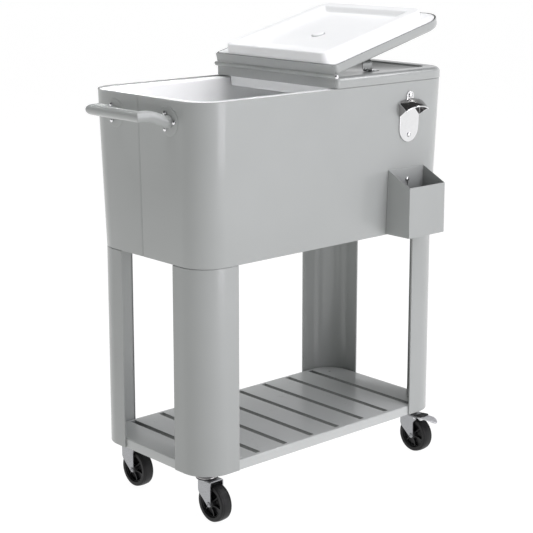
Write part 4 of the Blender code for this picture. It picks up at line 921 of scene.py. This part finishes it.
def pedal_plate():
    """Stamped lever in pivot coordinates, running towards -Y: raised shoulders, dished middle, shield-shaped toe."""
    rows = []
    stations = [(2.4, 10.5, 1.2), (0.0, 12.6, 2.6), (-4.0, 13.5, 3.2), (-10.0, 13.5, 3.9), (-18.0, 13.6, 4.7), (-26.0, 13.6, 5.0), (-33.0, 13.2, 4.6),
                (-38.0, 11.8, 3.6), (-42.5, 9.4, 2.4), (-46.5, 6.6, 1.1), (-49.5, 3.6, 0.2), (-51.0, 1.2, -0.3)]
    n = 14
    bm = bmesh.new()
    top, low = [], []
    for y, w, z in stations:
        rt, rl = [], []
        for k in range(n + 1):
            u = -1 + 2 * k / n
            edge = -1.9 * max(0.0, (abs(u) - 0.72) / 0.28) ** 2
            dish = 0.5 * math.cos(u * math.pi) * max(0.0, min(1.0, (-y - 3) / 10)) * max(0.0, min(1.0, (y + 47) / 8))
            zz = z + edge - dish
            rt.append(bm.verts.new((u * w * MM, y * MM, zz * MM)))
            rl.append(bm.verts.new((u * w * MM, y * MM, (zz - 1.5) * MM)))
        top.append(rt)
        low.append(rl)
    for rows_, flip in ((top, False), (low, True)):
        for a, b in zip(rows_, rows_[1:]):
            for i in range(n):
                f = (a[i], a[i + 1], b[i + 1], b[i])
                bm.faces.new(tuple(reversed(f)) if flip else f)
    for i in range(n):
        bm.faces.new((top[0][i + 1], top[0][i], low[0][i], low[0][i + 1]))
        bm.faces.new((top[-1][i], top[-1][i + 1], low[-1][i + 1], low[-1][i]))
    for a, b, c, d in zip(top, top[1:], low, low[1:]):
        bm.faces.new((a[0], b[0], d[0], c[0]))
        bm.faces.new((b[-1], a[-1], c[-1], d[-1]))
    plate = to_object("pedal", bm, PEDAL, 50)
    united(plate, lathe("pin", [(1.8 * MM, -17.3 * MM), (2.0 * MM, -17.1 * MM), (2.0 * MM, 17.1 * MM), (1.8 * MM, 17.3 * MM)], ZINC, 20, "X"))
    shoe = prism("shoe", [(-3.5 * MM, 2.2 * MM), (-4.0 * MM, -2.0 * MM), (-7 * MM, -4.0 * MM), (-12.2 * MM, -5.0 * MM), (-12.6 * MM, -4.2 * MM),
                          (-12.9 * MM, 3.0 * MM)], -9 * MM, 9 * MM, "YZ", ZINC)
    united(plate, shoe)
    return soften(plate, 0.25 * MM, 2, 45)


def pedal_pad():
    """Black ribbed foot pad that covers the inner half of the lever."""
    pad = stack("pad", [at(rrect(-12.6 * MM, 12.6 * MM, -17.0 * MM, -1.2 * MM, 3.5 * MM, 3.5 * MM, 8), 2.6 * MM),
                        at(rrect(-12.9 * MM, 12.9 * MM, -17.3 * MM, -0.9 * MM, 3.8 * MM, 3.8 * MM, 8), 3.6 * MM),
                        at(rrect(-12.9 * MM, 12.9 * MM, -17.3 * MM, -0.9 * MM, 3.8 * MM, 3.8 * MM, 8), 5.3 * MM),
                        at(rrect(-12.2 * MM, 12.2 * MM, -16.6 * MM, -1.6 * MM, 3.1 * MM, 3.1 * MM, 8), 6.1 * MM)], HUB)
    for k in range(3):
        y = (-4.4 - 4.7 * k) * MM
        united(pad, prism("pad_rib", [(y - 0.9 * MM, 5.6 * MM), (y + 0.9 * MM, 5.6 * MM), (y + 0.55 * MM, 6.9 * MM), (y - 0.55 * MM, 6.9 * MM)],
                          -10.6 * MM, 10.6 * MM, "YZ", HUB))
    m = Matrix.Rotation(math.radians(-4.5), 4, "X")
    transform(pad, m)
    return soften(pad, 0.22 * MM, 2, 40)


stem, fork_plain, fork_braked = stem_mesh(), fork_mesh("fork_plain", False), fork_mesh("fork_braked", True)
tyre, hub, axle, plate_, pad_ = tyre_mesh(), hub_mesh(), axle_mesh(), pedal_plate(), pedal_pad()
for place, (sx, sy) in CORNERS.items():
    to_stem = Matrix.Translation((sx * STEM_X, sy * STEM_Y, 0))
    to_wheel = to_stem @ Matrix.Translation((0, -TRAIL, WHEEL_R))
    piece(transform(copy_of(stem, "stem_turned_" + place), to_stem), "cart", "zinc", "caster_stem_" + place)
    piece(transform(copy_of(fork_braked if sx > 0 else fork_plain, "fork_sheet_" + place), to_stem), "swivel_" + place, "zinc", "fork_" + place)
    piece(transform(copy_of(tyre, "tyre_" + place), to_wheel), "roller_" + place, "wheel_black", "wheel_" + place)
    piece(transform(copy_of(hub, "hub_" + place), to_wheel), "roller_" + place, "wheel_black")
    piece(transform(copy_of(axle, "axle_rivet_" + place), to_wheel), "swivel_" + place, "zinc", "axle_" + place)
    if sx > 0:
        to_pedal = to_stem @ Matrix.Translation((0, PEDAL_Y, PEDAL_Z))
        piece(transform(copy_of(plate_, "pedal_plate_" + place), to_pedal), "brake_" + place, "zinc", "brake_pedal_" + place)
        piece(transform(copy_of(pad_, "pedal_pad_" + place), to_pedal), "brake_" + place, "wheel_black")
    soften(NODES["caster_plate_" + place], 0.4 * MM, 2, 40)
drop(stem, fork_plain, fork_braked, tyre, hub, axle, plate_, pad_)


# ================================================================ end handles
def bolt_places(side, fy, out=0.0):
    for k in range(3):
        ang = math.radians(180 + 120 * k)
        yield end_wall(side, fy, FLANGE_Z) @ Matrix.Translation((out, (1 if side > 0 else -1) * BOLT_CIRCLE * math.cos(ang),
                                                                 BOLT_CIRCLE * math.sin(ang)))


def handle_mesh(name, side):
    """Tube with tight mitred corners and legs that lean together: every lengthwise line turns the corner with the same small radius."""
    turn, lean, n = 2.6 * MM, 11.5 * MM, 40
    z0, z1 = FLANGE_Z, FLANGE_Z + RISE
    x0 = half_x(FLANGE_Z) + 1.5 * MM
    x1 = TOP_X + REACH
    last = x1 - TUBE_R - turn - 1.5 * MM

    def radius(x):
        flare = max(0.0, 1 - (x - x0) / (46 * MM))
        weld = min(1.0, max(0.0, 1 - (x - x0 - 2.0 * MM) / (3.2 * MM)))
        return TUBE_R + 1.7 * MM * flare + 0.55 * MM * weld * weld
    angles = [2 * math.pi * k / n for k in range(n)]
    rows = []
    for x in [x0 + d * MM for d in (0, 2.2, 2.8, 3.5, 4.4, 5.2)] + [x0 + 6 * MM + (last - x0 - 6 * MM) * k / 8 for k in range(9)]:
        t = max(0.0, x - x0 - 6 * MM) / (last - x0 - 6 * MM)
        z = z0 + (z1 - z0) * (1.35 * t - 0.35 * t * t * t) if t < 1 else z1
        r = radius(x)
        rows.append([(x, -FLANGE_Y + lean * t + r * math.cos(a), z + r * math.sin(a)) for a in angles])
    for k in range(8):
        t = math.radians(90 * k / 7)
        rows.append([(x1 - TUBE_R * math.cos(a) - turn + turn * math.sin(t), -FLANGE_Y + lean + TUBE_R * math.cos(a) + turn - turn * math.cos(t),
                      z1 + TUBE_R * math.sin(a)) for a in angles])
    for y in (-0.045, -0.02):
        rows.append([(x1 - TUBE_R * math.cos(a), y, z1 + TUBE_R * math.sin(a)) for a in angles])
    rows += [[(x, -y, z) for x, y, z in r] for r in reversed(rows)]
    bar = stack(name, [[(side * x, y, z) for x, y, z in r] for r in rows], PAINT, False, 34)
    for fy in (-FLANGE_Y, FLANGE_Y):
        edge = [(FLANGE_R, GAP), (FLANGE_R, 0.45 * MM)]
        edge += [(FLANGE_R - 3.0 * MM * (1 - math.cos(math.radians(a))), 0.45 * MM + 0.6 * MM * math.sin(math.radians(a))) for a in (15, 30, 45, 60, 75, 90)]
        flange = lathe("flange", edge, PAINT, 64, "X")
        transform(flange, end_wall(side, fy, FLANGE_Z))
        united(bar, flange)
    return bar


def anchor_mesh(name, side, fy):
    body = lathe(name, [(25.6 * MM, -3.2 * MM), (26 * MM, -2.9 * MM), (26 * MM, -1.7 * MM), (25.6 * MM, -1.4 * MM)], CHROME, 40, "X")
    transform(body, end_wall(side, fy, FLANGE_Z))
    r = 4.1
    dome = [(2.4, -2.4), (2.4, 1.4), (4.0, 1.4), (4.1, 1.65), (4.1, 2.9)]
    dome += [(max(0.25, r * math.cos(math.radians(a))), 2.9 + 2.8 * math.sin(math.radians(a))) for a in (12, 25, 38, 50, 62, 73, 82, 88)]
    for m in bolt_places(side, fy):
        united(body, transform(lathe("dome", [(a * MM, b * MM) for a, b in dome], CHROME, 28, "X"), m))
    return body


for side, word in ((-1, "left"), (1, "right")):
    piece(handle_mesh("handle_bar_" + word, side), "cart", "painted_steel", "handle_" + word)
    for fy, where in ((-FLANGE_Y, "front"), (FLANGE_Y, "back")):
        piece(anchor_mesh("handle_bolts_%s_%s" % (word, where), side, fy), "cart", "chrome", "handle_anchor_%s_%s" % (word, where))


# ================================================================ screws, opener, catcher
def pan_head(name, frame_, seat, r, shank=4.0):
    """Pan-head screw: turned dome with a cross recess; seat is the distance from the wall to the head."""
    prof = [(2.1 * MM, shank * MM), (2.1 * MM, -seat), (r * 0.97, -seat), (r, -seat - 0.25 * MM), (r, -seat - 0.9 * MM)]
    prof += [(r * math.cos(math.radians(a)) * 0.985 + 0.0002 * r, -seat - 0.9 * MM - 2.3 * MM * math.sin(math.radians(a)))
             for a in (12, 26, 40, 54, 66, 76, 84)]
    s_ = lathe(name, prof, CHROME, 40, "Y")
    for w, h in ((0.62 * MM, 2.6 * MM), (2.6 * MM, 0.62 * MM)):
        cut(s_, box("slot", -w, w, -seat - 5 * MM, -seat - 1.7 * MM, -h, h, CHROME))
    transform(s_, frame_)
    return soften(s_, 0.12 * MM, 1, 50)


def opener_hood():
    nu, nv = 30, 12
    curl = 8
    grid = []
    for v in [k / nv for k in range(nv + 1)]:
        hw = 35 - 2 * v
        row = []
        zb = lambda u: -34.5 - 6 * u * u
        zl = lambda u: -46.5 - 7.0 * u * u
        fall = v ** 1.35

        def top(u):
            return 2.6 + (27.5 - 4.5 * u * u - 2.6) * v, zb(u) + (zl(u) - zb(u)) * fall
        d1, z1 = top(1.0)
        zg = -70 + 15.4 * v
        rc = 2.6
        side_pts = []
        for k in range(5):
            z = min(zg + (z1 - rc - zg) * k / 4 if z1 - rc > zg else zg, z1 - 0.2)
            taper = (z1 - rc - z) / 30.0
            side_pts.append((hw - 6.5 * taper, d1, z))
        corner = [(hw - rc + rc * math.cos(math.radians(a)), d1, z1 - rc + rc * math.sin(math.radians(a))) for a in (22, 45, 68)]
        row = [(-x, d, z) for x, d, z in side_pts] + [(-x, d, z) for x, d, z in corner]
        inner = (hw - rc) / hw
        for k in range(nu + 1):
            u = -inner + 2 * inner * k / nu
            d, z = top(u)
            row.append((u * hw, d, z + 0.0))
        row += [(x, d, z) for x, d, z in reversed(corner)] + [(x, d, z) for x, d, z in reversed(side_pts)]
        grid.append(row)
    # rolled lip: the front edge curls down and back
    lip = grid[-1]
    r = 1.35
    for k in range(1, curl + 1):
        a = math.radians(180 * k / curl)
        row = []
        m = len(lip)
        for i, (x, d, z) in enumerate(lip):
            side_on = i < 5 or i >= m - 5
            row.append((x, d + r * math.sin(a) * (0.35 if side_on else 1.0), z - r * (1 - math.cos(a)) * (0.35 if side_on else 1.0)))
        grid.append(row)
    bm = bmesh.new()
    vs = [[bm.verts.new((x * MM, -d * MM, z * MM)) for x, d, z in row] for row in grid]
    for a, b in zip(vs, vs[1:]):
        for i in range(len(a) - 1):
            bm.faces.new((a[i], a[i + 1], b[i + 1], b[i]))
    ob = to_object("opener_hood", bm, CHROME, 60)
    # outward is up and away from the wall
    me = ob.data
    mid = me.polygons[(nv // 2) * (len(grid[0]) - 1) + len(grid[0]) // 2]
    if mid.normal.z < 0:
        me.flip_normals()
    sol = ob.modifiers.new("sheet", "SOLIDIFY")
    sol.thickness = 1.5 * MM
    sol.offset = -1.0
    sol.use_even_offset = False
    across, count = len(grid[0]) - 1, len(me.polygons)
    settle(ob, smooth=50)
    # painted reflection: the hood's top and cheeks take a darker chrome that stands in for the dark ceiling mirrored
    # there; its lip and its two edges keep the bright chrome
    ob.data.materials.append(CHROME_PAINTED_SHADE)
    for k in range(2 * count):
        row, j = divmod(k % count, across)
        if row < nv and not 4 <= min(j, across - 1 - j) <= 7:
            ob.data.polygons[k].material_index = 1
    return ob


def opener_plate():
    outline = arc(0, -29 * MM, 10 * MM, 0, 180, 24)
    outline += [(-10 * MM, -36 * MM), (-10.8 * MM, -38.2 * MM), (-13 * MM, -39.4 * MM), (-25.5 * MM, -42.6 * MM), (-27.4 * MM, -43.8 * MM), (-28 * MM, -46 * MM),
                (-28 * MM, -84 * MM)]
    outline += [(28 * math.cos(math.radians(a)) * MM, (-93 + 31 * math.sin(math.radians(a))) * MM) for a in range(186, 355, 8)]
    outline += [(28 * MM, -84 * MM), (28 * MM, -46 * MM), (27.4 * MM, -43.8 * MM), (25.5 * MM, -42.6 * MM), (13 * MM, -39.4 * MM), (10.8 * MM, -38.2 * MM), (10 * MM, -36 * MM)]
    ob = prism("opener_plate", outline, -2.9 * MM, -GAP, "XZ", CHROME)
    return ob


plate_ = opener_plate()
OPENER_FRAME = front_wall(OPENER_X, RIM_Z)
transform(plate_, OPENER_FRAME)
soften(plate_, 0.7 * MM, 3, 50)
piece(plate_, "cart", "chrome", "bottle_opener")
hood = opener_hood()
transform(hood, OPENER_FRAME)
piece(hood, "cart", "chrome")
for name, z in (("opener_screw_top", -28 * MM), ("opener_screw_low", -109 * MM)):
    piece(pan_head(name.replace("opener", "opener_pan"), OPENER_FRAME @ Matrix.Translation((0, 0, z)), 3.3 * MM, 5 * MM), "cart", "chrome", name)


def wall_y(z, off=0.0):
    return -half_y(z) - off


def catcher_mesh():
    t = 1.2 * MM
    outer = [(wall_y(CATCHER_LOW_Z, GAP), CATCHER_LOW_Z), (CATCHER_FRONT_Y, CATCHER_LOW_Z),
             (CATCHER_FRONT_Y, CATCHER_FRONT_Z), (wall_y(CATCHER_BACK_Z, GAP), CATCHER_BACK_Z)]
    body = prism("catcher_sheet", outer, CATCHER_X0, CATCHER_X1, "YZ", PAINT)
    lift = 20 * MM
    inner = [(wall_y(CATCHER_LOW_Z + t, GAP + t), CATCHER_LOW_Z + t), (CATCHER_FRONT_Y + t, CATCHER_LOW_Z + t),
             (CATCHER_FRONT_Y + t, CATCHER_BACK_Z + lift), (wall_y(CATCHER_BACK_Z + lift, GAP + t), CATCHER_BACK_Z + lift)]
    cut(body, prism("catcher_room", inner, CATCHER_X0 + t, CATCHER_X1 - t, "YZ", PAINT))
    x, z = CATCHER_SCREW
    w = 3.3 * MM
    slot = arc(x, z, w, 0, 180, 12) + arc(x, z - 11.2 * MM, w, 180, 360, 12)
    cut(body, prism("hang_slot", slot, wall_y(z) - 6 * MM, wall_y(z) + 6 * MM, "XZ", PAINT))
    return soften(body, 0.58 * MM, 3, 40)


piece(catcher_mesh(), "catcher", "painted_steel", "cap_catcher")
piece(pan_head("catcher_pan_screw", front_wall(*CATCHER_SCREW), GAP + 1.2 * MM + 0.35 * MM, 4.7 * MM), "cart", "chrome", "catcher_screw")


# ================================================================ lids
def lid_outline(d=0.0, n=18):
    r0 = max(LID_EDGE_R - d, 0.6 * MM)
    r1 = max(CORNER_R + LID_OVER - d, 0.6 * MM)
    y = TOP_Y + LID_OVER - d
    return rrect(LID_FACE + d, TOP_X + LID_OVER - d, -y, y, r0, r1, n)


def block_outline(d=0.0, n=18):
    y = TOP_Y + LID_OVER - BLOCK_IN - d
    return rrect(BLOCK_HINGE_IN + d, TOP_X + LID_OVER - BLOCK_IN - d, -y, y, max(14 * MM - d, 2 * MM), max(31 * MM - d, 4 * MM), n)


def recess_outline(d=0.0, n=18):
    y = TOP_Y + LID_OVER - RECESS_IN - d
    r = 20 * MM - d
    return rrect(LID_FACE + 26 * MM + d, TOP_X + LID_OVER - RECESS_IN - d, -y, y, r, r, n)


TOP = RIM_Z + LID_H
HEM_LOW = RIM_Z + 1.02 * MM


def lid_skin():
    r, t = LID_EDGE_R, 1.0 * MM
    rings = [at(recess_outline(0.9 * MM), TOP - RECESS_D - t), at(recess_outline(-0.6 * MM), TOP - t)]
    for k in range(9):
        a = math.radians(90 - 90 * k / 8)
        rings.append(at(lid_outline(r - (r - t) * math.cos(a)), TOP - r + (r - t) * math.sin(a)))
    rings += [at(lid_outline(t), HEM_LOW + 5 * MM), at(lid_outline(3.2 * MM), HEM_LOW + 5 * MM), at(lid_outline(3.2 * MM), HEM_LOW + 0.8 * MM),
              at(lid_outline(2.9 * MM), HEM_LOW + 0.25 * MM), at(lid_outline(2.3 * MM), HEM_LOW), at(lid_outline(0.8 * MM), HEM_LOW),
              at(lid_outline(0.25 * MM), HEM_LOW + 0.25 * MM), at(lid_outline(0), HEM_LOW + 0.8 * MM)]
    for k in range(11):
        a = math.radians(90 * k / 10)
        rings.append(at(lid_outline(r - r * math.cos(a)), TOP - r + r * math.sin(a)))
    # recess: rounded shoulder, short wall, rounded foot
    rings += [at(recess_outline(-0.6 * MM), TOP), at(recess_outline(-0.15 * MM), TOP - 0.12 * MM), at(recess_outline(0.25 * MM), TOP - 0.5 * MM),
              at(recess_outline(0.95 * MM), TOP - RECESS_D + 0.6 * MM), at(recess_outline(1.25 * MM), TOP - RECESS_D + 0.2 * MM), at(recess_outline(1.7 * MM), TOP - RECESS_D)]
    skin = stack("lid_skin", rings, PAINT, False, 28)
    # painted shade: the folded hem's thin edge and underside get the near-black paint, drawing the shade line between
    # skin and liner
    skin.data.materials.append(SHADED_EDGE)
    for f in skin.data.polygons:
        if f.center.z < HEM_LOW + 0.5 * MM or (f.center.z < HEM_LOW + 4.5 * MM and f.normal.z < -0.5):
            f.material_index = 1
    return skin


def lid_liner():
    f0, f1 = RIM_Z + 0.6 * MM, RIM_Z + 2.6 * MM
    low = RIM_Z - BLOCK_D + 0.16 * MM
    pan = RIM_Z - 8 * MM
    cx = (BLOCK_HINGE_IN + TOP_X + LID_OVER - BLOCK_IN) / 2 - 21 * MM

    def plug(r, n=18):
        return rrect(cx - r - 0.2 * MM, cx + r + 0.2 * MM, -r - 0.2 * MM, r + 0.2 * MM, r, r, n)
    button = ((1.0, 3.0), (9.6, 2.95), (10.9, 2.6), (11.6, 1.8), (11.9, 0.4), (12.2, -0.8), (12.9, -1.5), (13.9, -1.2), (14.7, -0.3), (15.4, 0.0), (19.0, 0.0))
    rings = [at(plug(r * MM), pan - h * MM) for r, h in button] + [at(block_outline(60 * MM), pan), at(block_outline(38 * MM), pan)]
    # soft S-shaped slope from the dish floor up to the face
    for k in range(11):
        t = k / 10
        rings.append(at(block_outline((35.0 - 10.0 * t) * MM), pan + (low - pan) * (0.5 - 0.5 * math.cos(math.pi * t))))
    r = 3.4 * MM
    for k in range(7):
        a = math.radians(90 * k / 6)
        rings.append(at(block_outline(5.6 * MM - r * math.sin(a) - 0.0), low + r * (1 - math.cos(a))))
    rings += [at(block_outline(0.5 * MM), f0 - 0.9 * MM), at(block_outline(0.0 * MM), f0 - 0.25 * MM), at(block_outline(-0.5 * MM), f0),
              at(lid_outline(5.3 * MM), f0), at(lid_outline(4.6 * MM), f0 + 0.25 * MM), at(lid_outline(4.3 * MM), f0 + 0.9 * MM), at(lid_outline(4.3 * MM), f1),
              at(block_outline(2.2 * MM), f1), at(block_outline(4.3 * MM), low + 5.0 * MM), at(block_outline(7 * MM), low + 2 * MM),
              at(block_outline(26 * MM), low + 2 * MM), at(block_outline(33 * MM), pan + 2 * MM)]
    ob = stack("lid_liner", rings, LINER, False, 40)
    # painted shade: the groove round the button gets a greyer white
    ob.data.materials.append(LINER_SHADE)
    for f in ob.data.polygons:
        if math.hypot(f.center.x - cx, f.center.y) < 15.0 * MM and pan + 0.1 * MM < f.center.z < pan + 1.8 * MM:
            f.material_index = 1
    return ob


def leaf(odd):
    full = TOP_Y + LID_OVER
    body = box("leaf", 0.32 * MM, 1.3 * MM, -full + 4 * MM, full - 4 * MM, -22.8 * MM, -5.0 * MM, HINGE_PAINT)
    pitch = 2 * full / KNUCKLES
    for k in range(KNUCKLES):
        if (k % 2 == 0) == odd:
            y0, y1 = -full + pitch * k + 0.2 * MM, -full + pitch * (k + 1) - 0.2 * MM
            knuckle = lathe_ring("knuckle", [(ROD_R + 0.4 * MM, y0), (BARREL_R - 0.3 * MM, y0), (BARREL_R, y0 + 0.3 * MM), (BARREL_R, y1 - 0.3 * MM),
                                             (BARREL_R - 0.3 * MM, y1), (ROD_R + 0.4 * MM, y1)], HINGE_PAINT, 40, "Y")
            w0, w1 = max(y0 + 1 * MM, -full + 5 * MM), min(y1 - 1 * MM, full - 5 * MM)
            united(body, knuckle, box("web", 0.37 * MM, 1.25 * MM, w0, w1, -5.4 * MM, -3.4 * MM, HINGE_PAINT))
    return soften(body, 0.2 * MM, 2, 50)


def lid_handle():
    base = TOP - RECESS_D + 0.3 * MM + STRAP_T / 2
    top = TOP - RECESS_D + STRAP_H - STRAP_T / 2
    y0, r0, r1 = STRAP_Y, 4 * MM, 9 * MM
    half = [(-y0 - STRAP_FOOT, base)]
    half += [(-y0 - r0 + r0 * math.sin(math.radians(a)), base + r0 - r0 * math.cos(math.radians(a))) for a in range(0, 91, 9)]
    half += [(-y0 + r1 - r1 * math.cos(math.radians(a)), top - r1 + r1 * math.sin(math.radians(a))) for a in range(0, 91, 9)]
    path = half + [(-y, z) for y, z in reversed(half)]
    # the strap takes the darkened plating, a painted dark reflection
    ob = strap("lid_handle", path, STRAP_T, STRAP_X - STRAP_W / 2, STRAP_X + STRAP_W / 2, STRAP)
    plan = rrect(STRAP_X - STRAP_W / 2, STRAP_X + STRAP_W / 2, -y0 - STRAP_FOOT, y0 + STRAP_FOOT, 5 * MM, 5 * MM, 8)
    common(ob, prism("plan", plan, TOP - 20 * MM, TOP + 40 * MM, "XY", CHROME))
    return soften(ob, 0.7 * MM, 3, 50)


def lid_screws():
    y = STRAP_Y + STRAP_FOOT / 2
    under = TOP - RECESS_D - 1.0 * MM - 0.35 * MM
    ob = box("lid_screws", STRAP_X - 9 * MM, STRAP_X + 9 * MM, -y - 10 * MM, y + 10 * MM, under - 1.6 * MM, under, CHROME)
    seat = TOP - RECESS_D + 0.3 * MM + STRAP_T + 0.35 * MM
    for s_ in (-1, 1):
        screw = lathe("screw", [(2.1 * MM, under - 3 * MM), (2.1 * MM, seat), (4.7 * MM, seat), (4.8 * MM, seat + 0.2 * MM), (4.8 * MM, seat + 0.8 * MM),
                                (4.6 * MM, seat + 1.3 * MM), (4.1 * MM, seat + 1.9 * MM), (3.3 * MM, seat + 2.4 * MM), (2.2 * MM, seat + 2.75 * MM),
                                (1.0 * MM, seat + 2.9 * MM)], CHROME, 32)
        for w, h in ((0.6 * MM, 2.4 * MM), (2.4 * MM, 0.6 * MM)):
            cut(screw, box("slot", -w, w, -h, h, seat + 1.3 * MM, seat + 5 * MM, CHROME))
        united(ob, transform(screw, Matrix.Translation((STRAP_X, s_ * y, 0))))
    return soften(ob, 0.15 * MM, 1, 50)


TO_AXIS = Matrix.Translation((0, 0, -HINGE_Z))
MIRROR = Matrix.Diagonal((-1, 1, 1, 1))
OPENED = Matrix.Translation((0, 0, HINGE_Z)) @ Matrix.Rotation(math.radians(OPEN_DEG), 4, "Y")
for maker, kind, slot_name in ((lid_skin, "skin", "painted_steel"), (lid_liner, "liner", "white_liner"), (lid_handle, "handle", "chrome"),
                               (lid_screws, "handle_screws", "chrome")):
    shape = maker()
    closed = copy_of(shape, "lid_%s_right_fine" % kind)
    if kind == "skin":
        # the closed lid's hem faces the tank's pale rim, so it keeps the plain paint without the painted shade and
        # leaves only a hair line
        closed.data.polygons.foreach_set("material_index", [0] * len(closed.data.polygons))
        closed.data.materials.pop(index=1)
        for v in closed.data.vertices:
            if v.co.z < HEM_LOW + 1.0 * MM:
                v.co.z -= 0.55 * MM
    piece(closed, "right_lid", slot_name, "right_lid_" + kind)
    piece(transform(copy_of(shape, "lid_%s_left_fine" % kind), OPENED @ MIRROR @ TO_AXIS), "left_lid", slot_name, "left_lid_" + kind)
    drop(shape)

r_leaf, l_leaf = leaf(True), leaf(False)
r_leaf.name, l_leaf.name = "hinge_leaf_right_fine", "hinge_leaf_left_fine"
piece(transform(r_leaf, Matrix.Translation((0, 0, HINGE_Z))), "right_lid", "painted_hinge", "right_hinge_leaf")
piece(transform(l_leaf, OPENED @ MIRROR), "left_lid", "painted_hinge", "left_hinge_leaf")

rod_end = TOP_Y + LID_OVER + 0.35 * MM
half = [(ROD_R, rod_end), (4.3 * MM, rod_end), (4.5 * MM, rod_end + 0.25 * MM)]
half += [(4.5 * MM * math.cos(math.radians(a)) + 0.1 * MM, rod_end + 0.4 * MM + 3.6 * MM * math.sin(math.radians(a))) for a in (10, 22, 35, 48, 60, 72, 82)]
rod = lathe("hinge_rod_turned", [(r, -y) for r, y in reversed(half)] + half, CHROME, 36, "Y")
piece(transform(rod, Matrix.Translation((0, 0, HINGE_Z))), "right_lid", "chrome", "hinge_rod")

# ================================================================ drain
WALL_IN = LINER_LOW_X + (TOP_X - MOUTH - LINER_LOW_X) * (DRAIN_Z - LINER_FLOOR_Z) / (RIM_Z - LINER_FLOOR_Z)
WALL_OUT = half_x(DRAIN_Z)
TO_DRAIN = Matrix.Translation((0, 0, DRAIN_Z))
SPOUT_END = WALL_OUT + 15 * MM


def drain_spout():
    p = [(8 * MM, WALL_IN - 3.9 * MM), (8.4 * MM, WALL_IN - 4.2 * MM), (14.4 * MM, WALL_IN - 4.2 * MM), (15 * MM, WALL_IN - 3.7 * MM),
         (15 * MM, WALL_IN - 1.6 * MM), (12 * MM, WALL_IN - 1.6 * MM)]
    x = WALL_OUT + 1 * MM
    p.append((11.3 * MM, x))
    while x < SPOUT_END - 3 * MM:
        p += [(11.3 * MM, x + 0.5 * MM), (12.0 * MM, x + 1.0 * MM), (12.0 * MM, x + 1.5 * MM), (11.3 * MM, x + 2.0 * MM)]
        x += 2.4 * MM
    p += [(11.4 * MM, SPOUT_END - 0.4 * MM), (11.0 * MM, SPOUT_END), (8.4 * MM, SPOUT_END), (8 * MM, SPOUT_END - 0.4 * MM)]
    return transform(lathe_ring("drain_spout_fine", p, LINER, 48, "X"), TO_DRAIN)


def lobed(name, r, depth, count, x0, x1, look, inner=None, n=120, turn=0.0, cup=None):
    """Round body with scalloped grips; inner gives it a bore, cup (radius, end) a blind one."""
    def ring(rr, h, d):
        return [(h, (rr - d * (0.5 - 0.5 * math.cos(2 * math.pi * count * k / n)) ** 3) * math.cos(2 * math.pi * k / n + turn),
                 (rr - d * (0.5 - 0.5 * math.cos(2 * math.pi * count * k / n)) ** 3) * math.sin(2 * math.pi * k / n + turn)) for k in range(n)]
    rows = [ring(r - 0.9 * MM, x0, depth * 0.4), ring(r - 0.25 * MM, x0 + 0.25 * MM, depth), ring(r, x0 + 0.8 * MM, depth), ring(r, x1 - 0.9 * MM, depth),
            ring(r - 0.3 * MM, x1 - 0.3 * MM, depth), ring(r - 1.1 * MM, x1, depth * 0.3)]
    if inner:
        rows += [ring(inner, x1, 0), ring(inner, x0, 0)]
        return transform(stack(name, rows, look, True, 35), TO_DRAIN)
    if cup:
        rows = [ring(cup[0], cup[1], 0), ring(cup[0], x0 + 0.3 * MM, 0), ring(cup[0] + 0.3 * MM, x0, 0)] + rows
    return transform(stack(name, rows, look, False, 35), TO_DRAIN)


piece(drain_spout(), "cart", "white_liner", "drain_spout")
piece(transform(lathe_ring("drain_gasket_fine", [(12.5 * MM, WALL_OUT + 0.9 * MM), (16.5 * MM, WALL_OUT + 0.8 * MM), (17 * MM, WALL_OUT + 1.2 * MM),
                                                  (17 * MM, WALL_OUT + 2.0 * MM), (16.5 * MM, WALL_OUT + 2.4 * MM), (12.5 * MM, WALL_OUT + 2.4 * MM)], SEAL, 64, "X"), TO_DRAIN),
      "cart", "seal", "drain_gasket")
piece(lobed("drain_nut_fine", 19 * MM, 2.6 * MM, 8, WALL_OUT + 2.8 * MM, WALL_OUT + 7.2 * MM, LINER, 12.5 * MM), "cart", "white_liner", "drain_nut")
cap = lobed("drain_cap_fine", 16 * MM, 0.55 * MM, 28, WALL_OUT + 7.7 * MM, WALL_OUT + 18.4 * MM, LINER, None, 336, cup=(12.4 * MM, SPOUT_END + 0.4 * MM))
piece(cap, "drain_plug", "white_liner", "drain_cap")
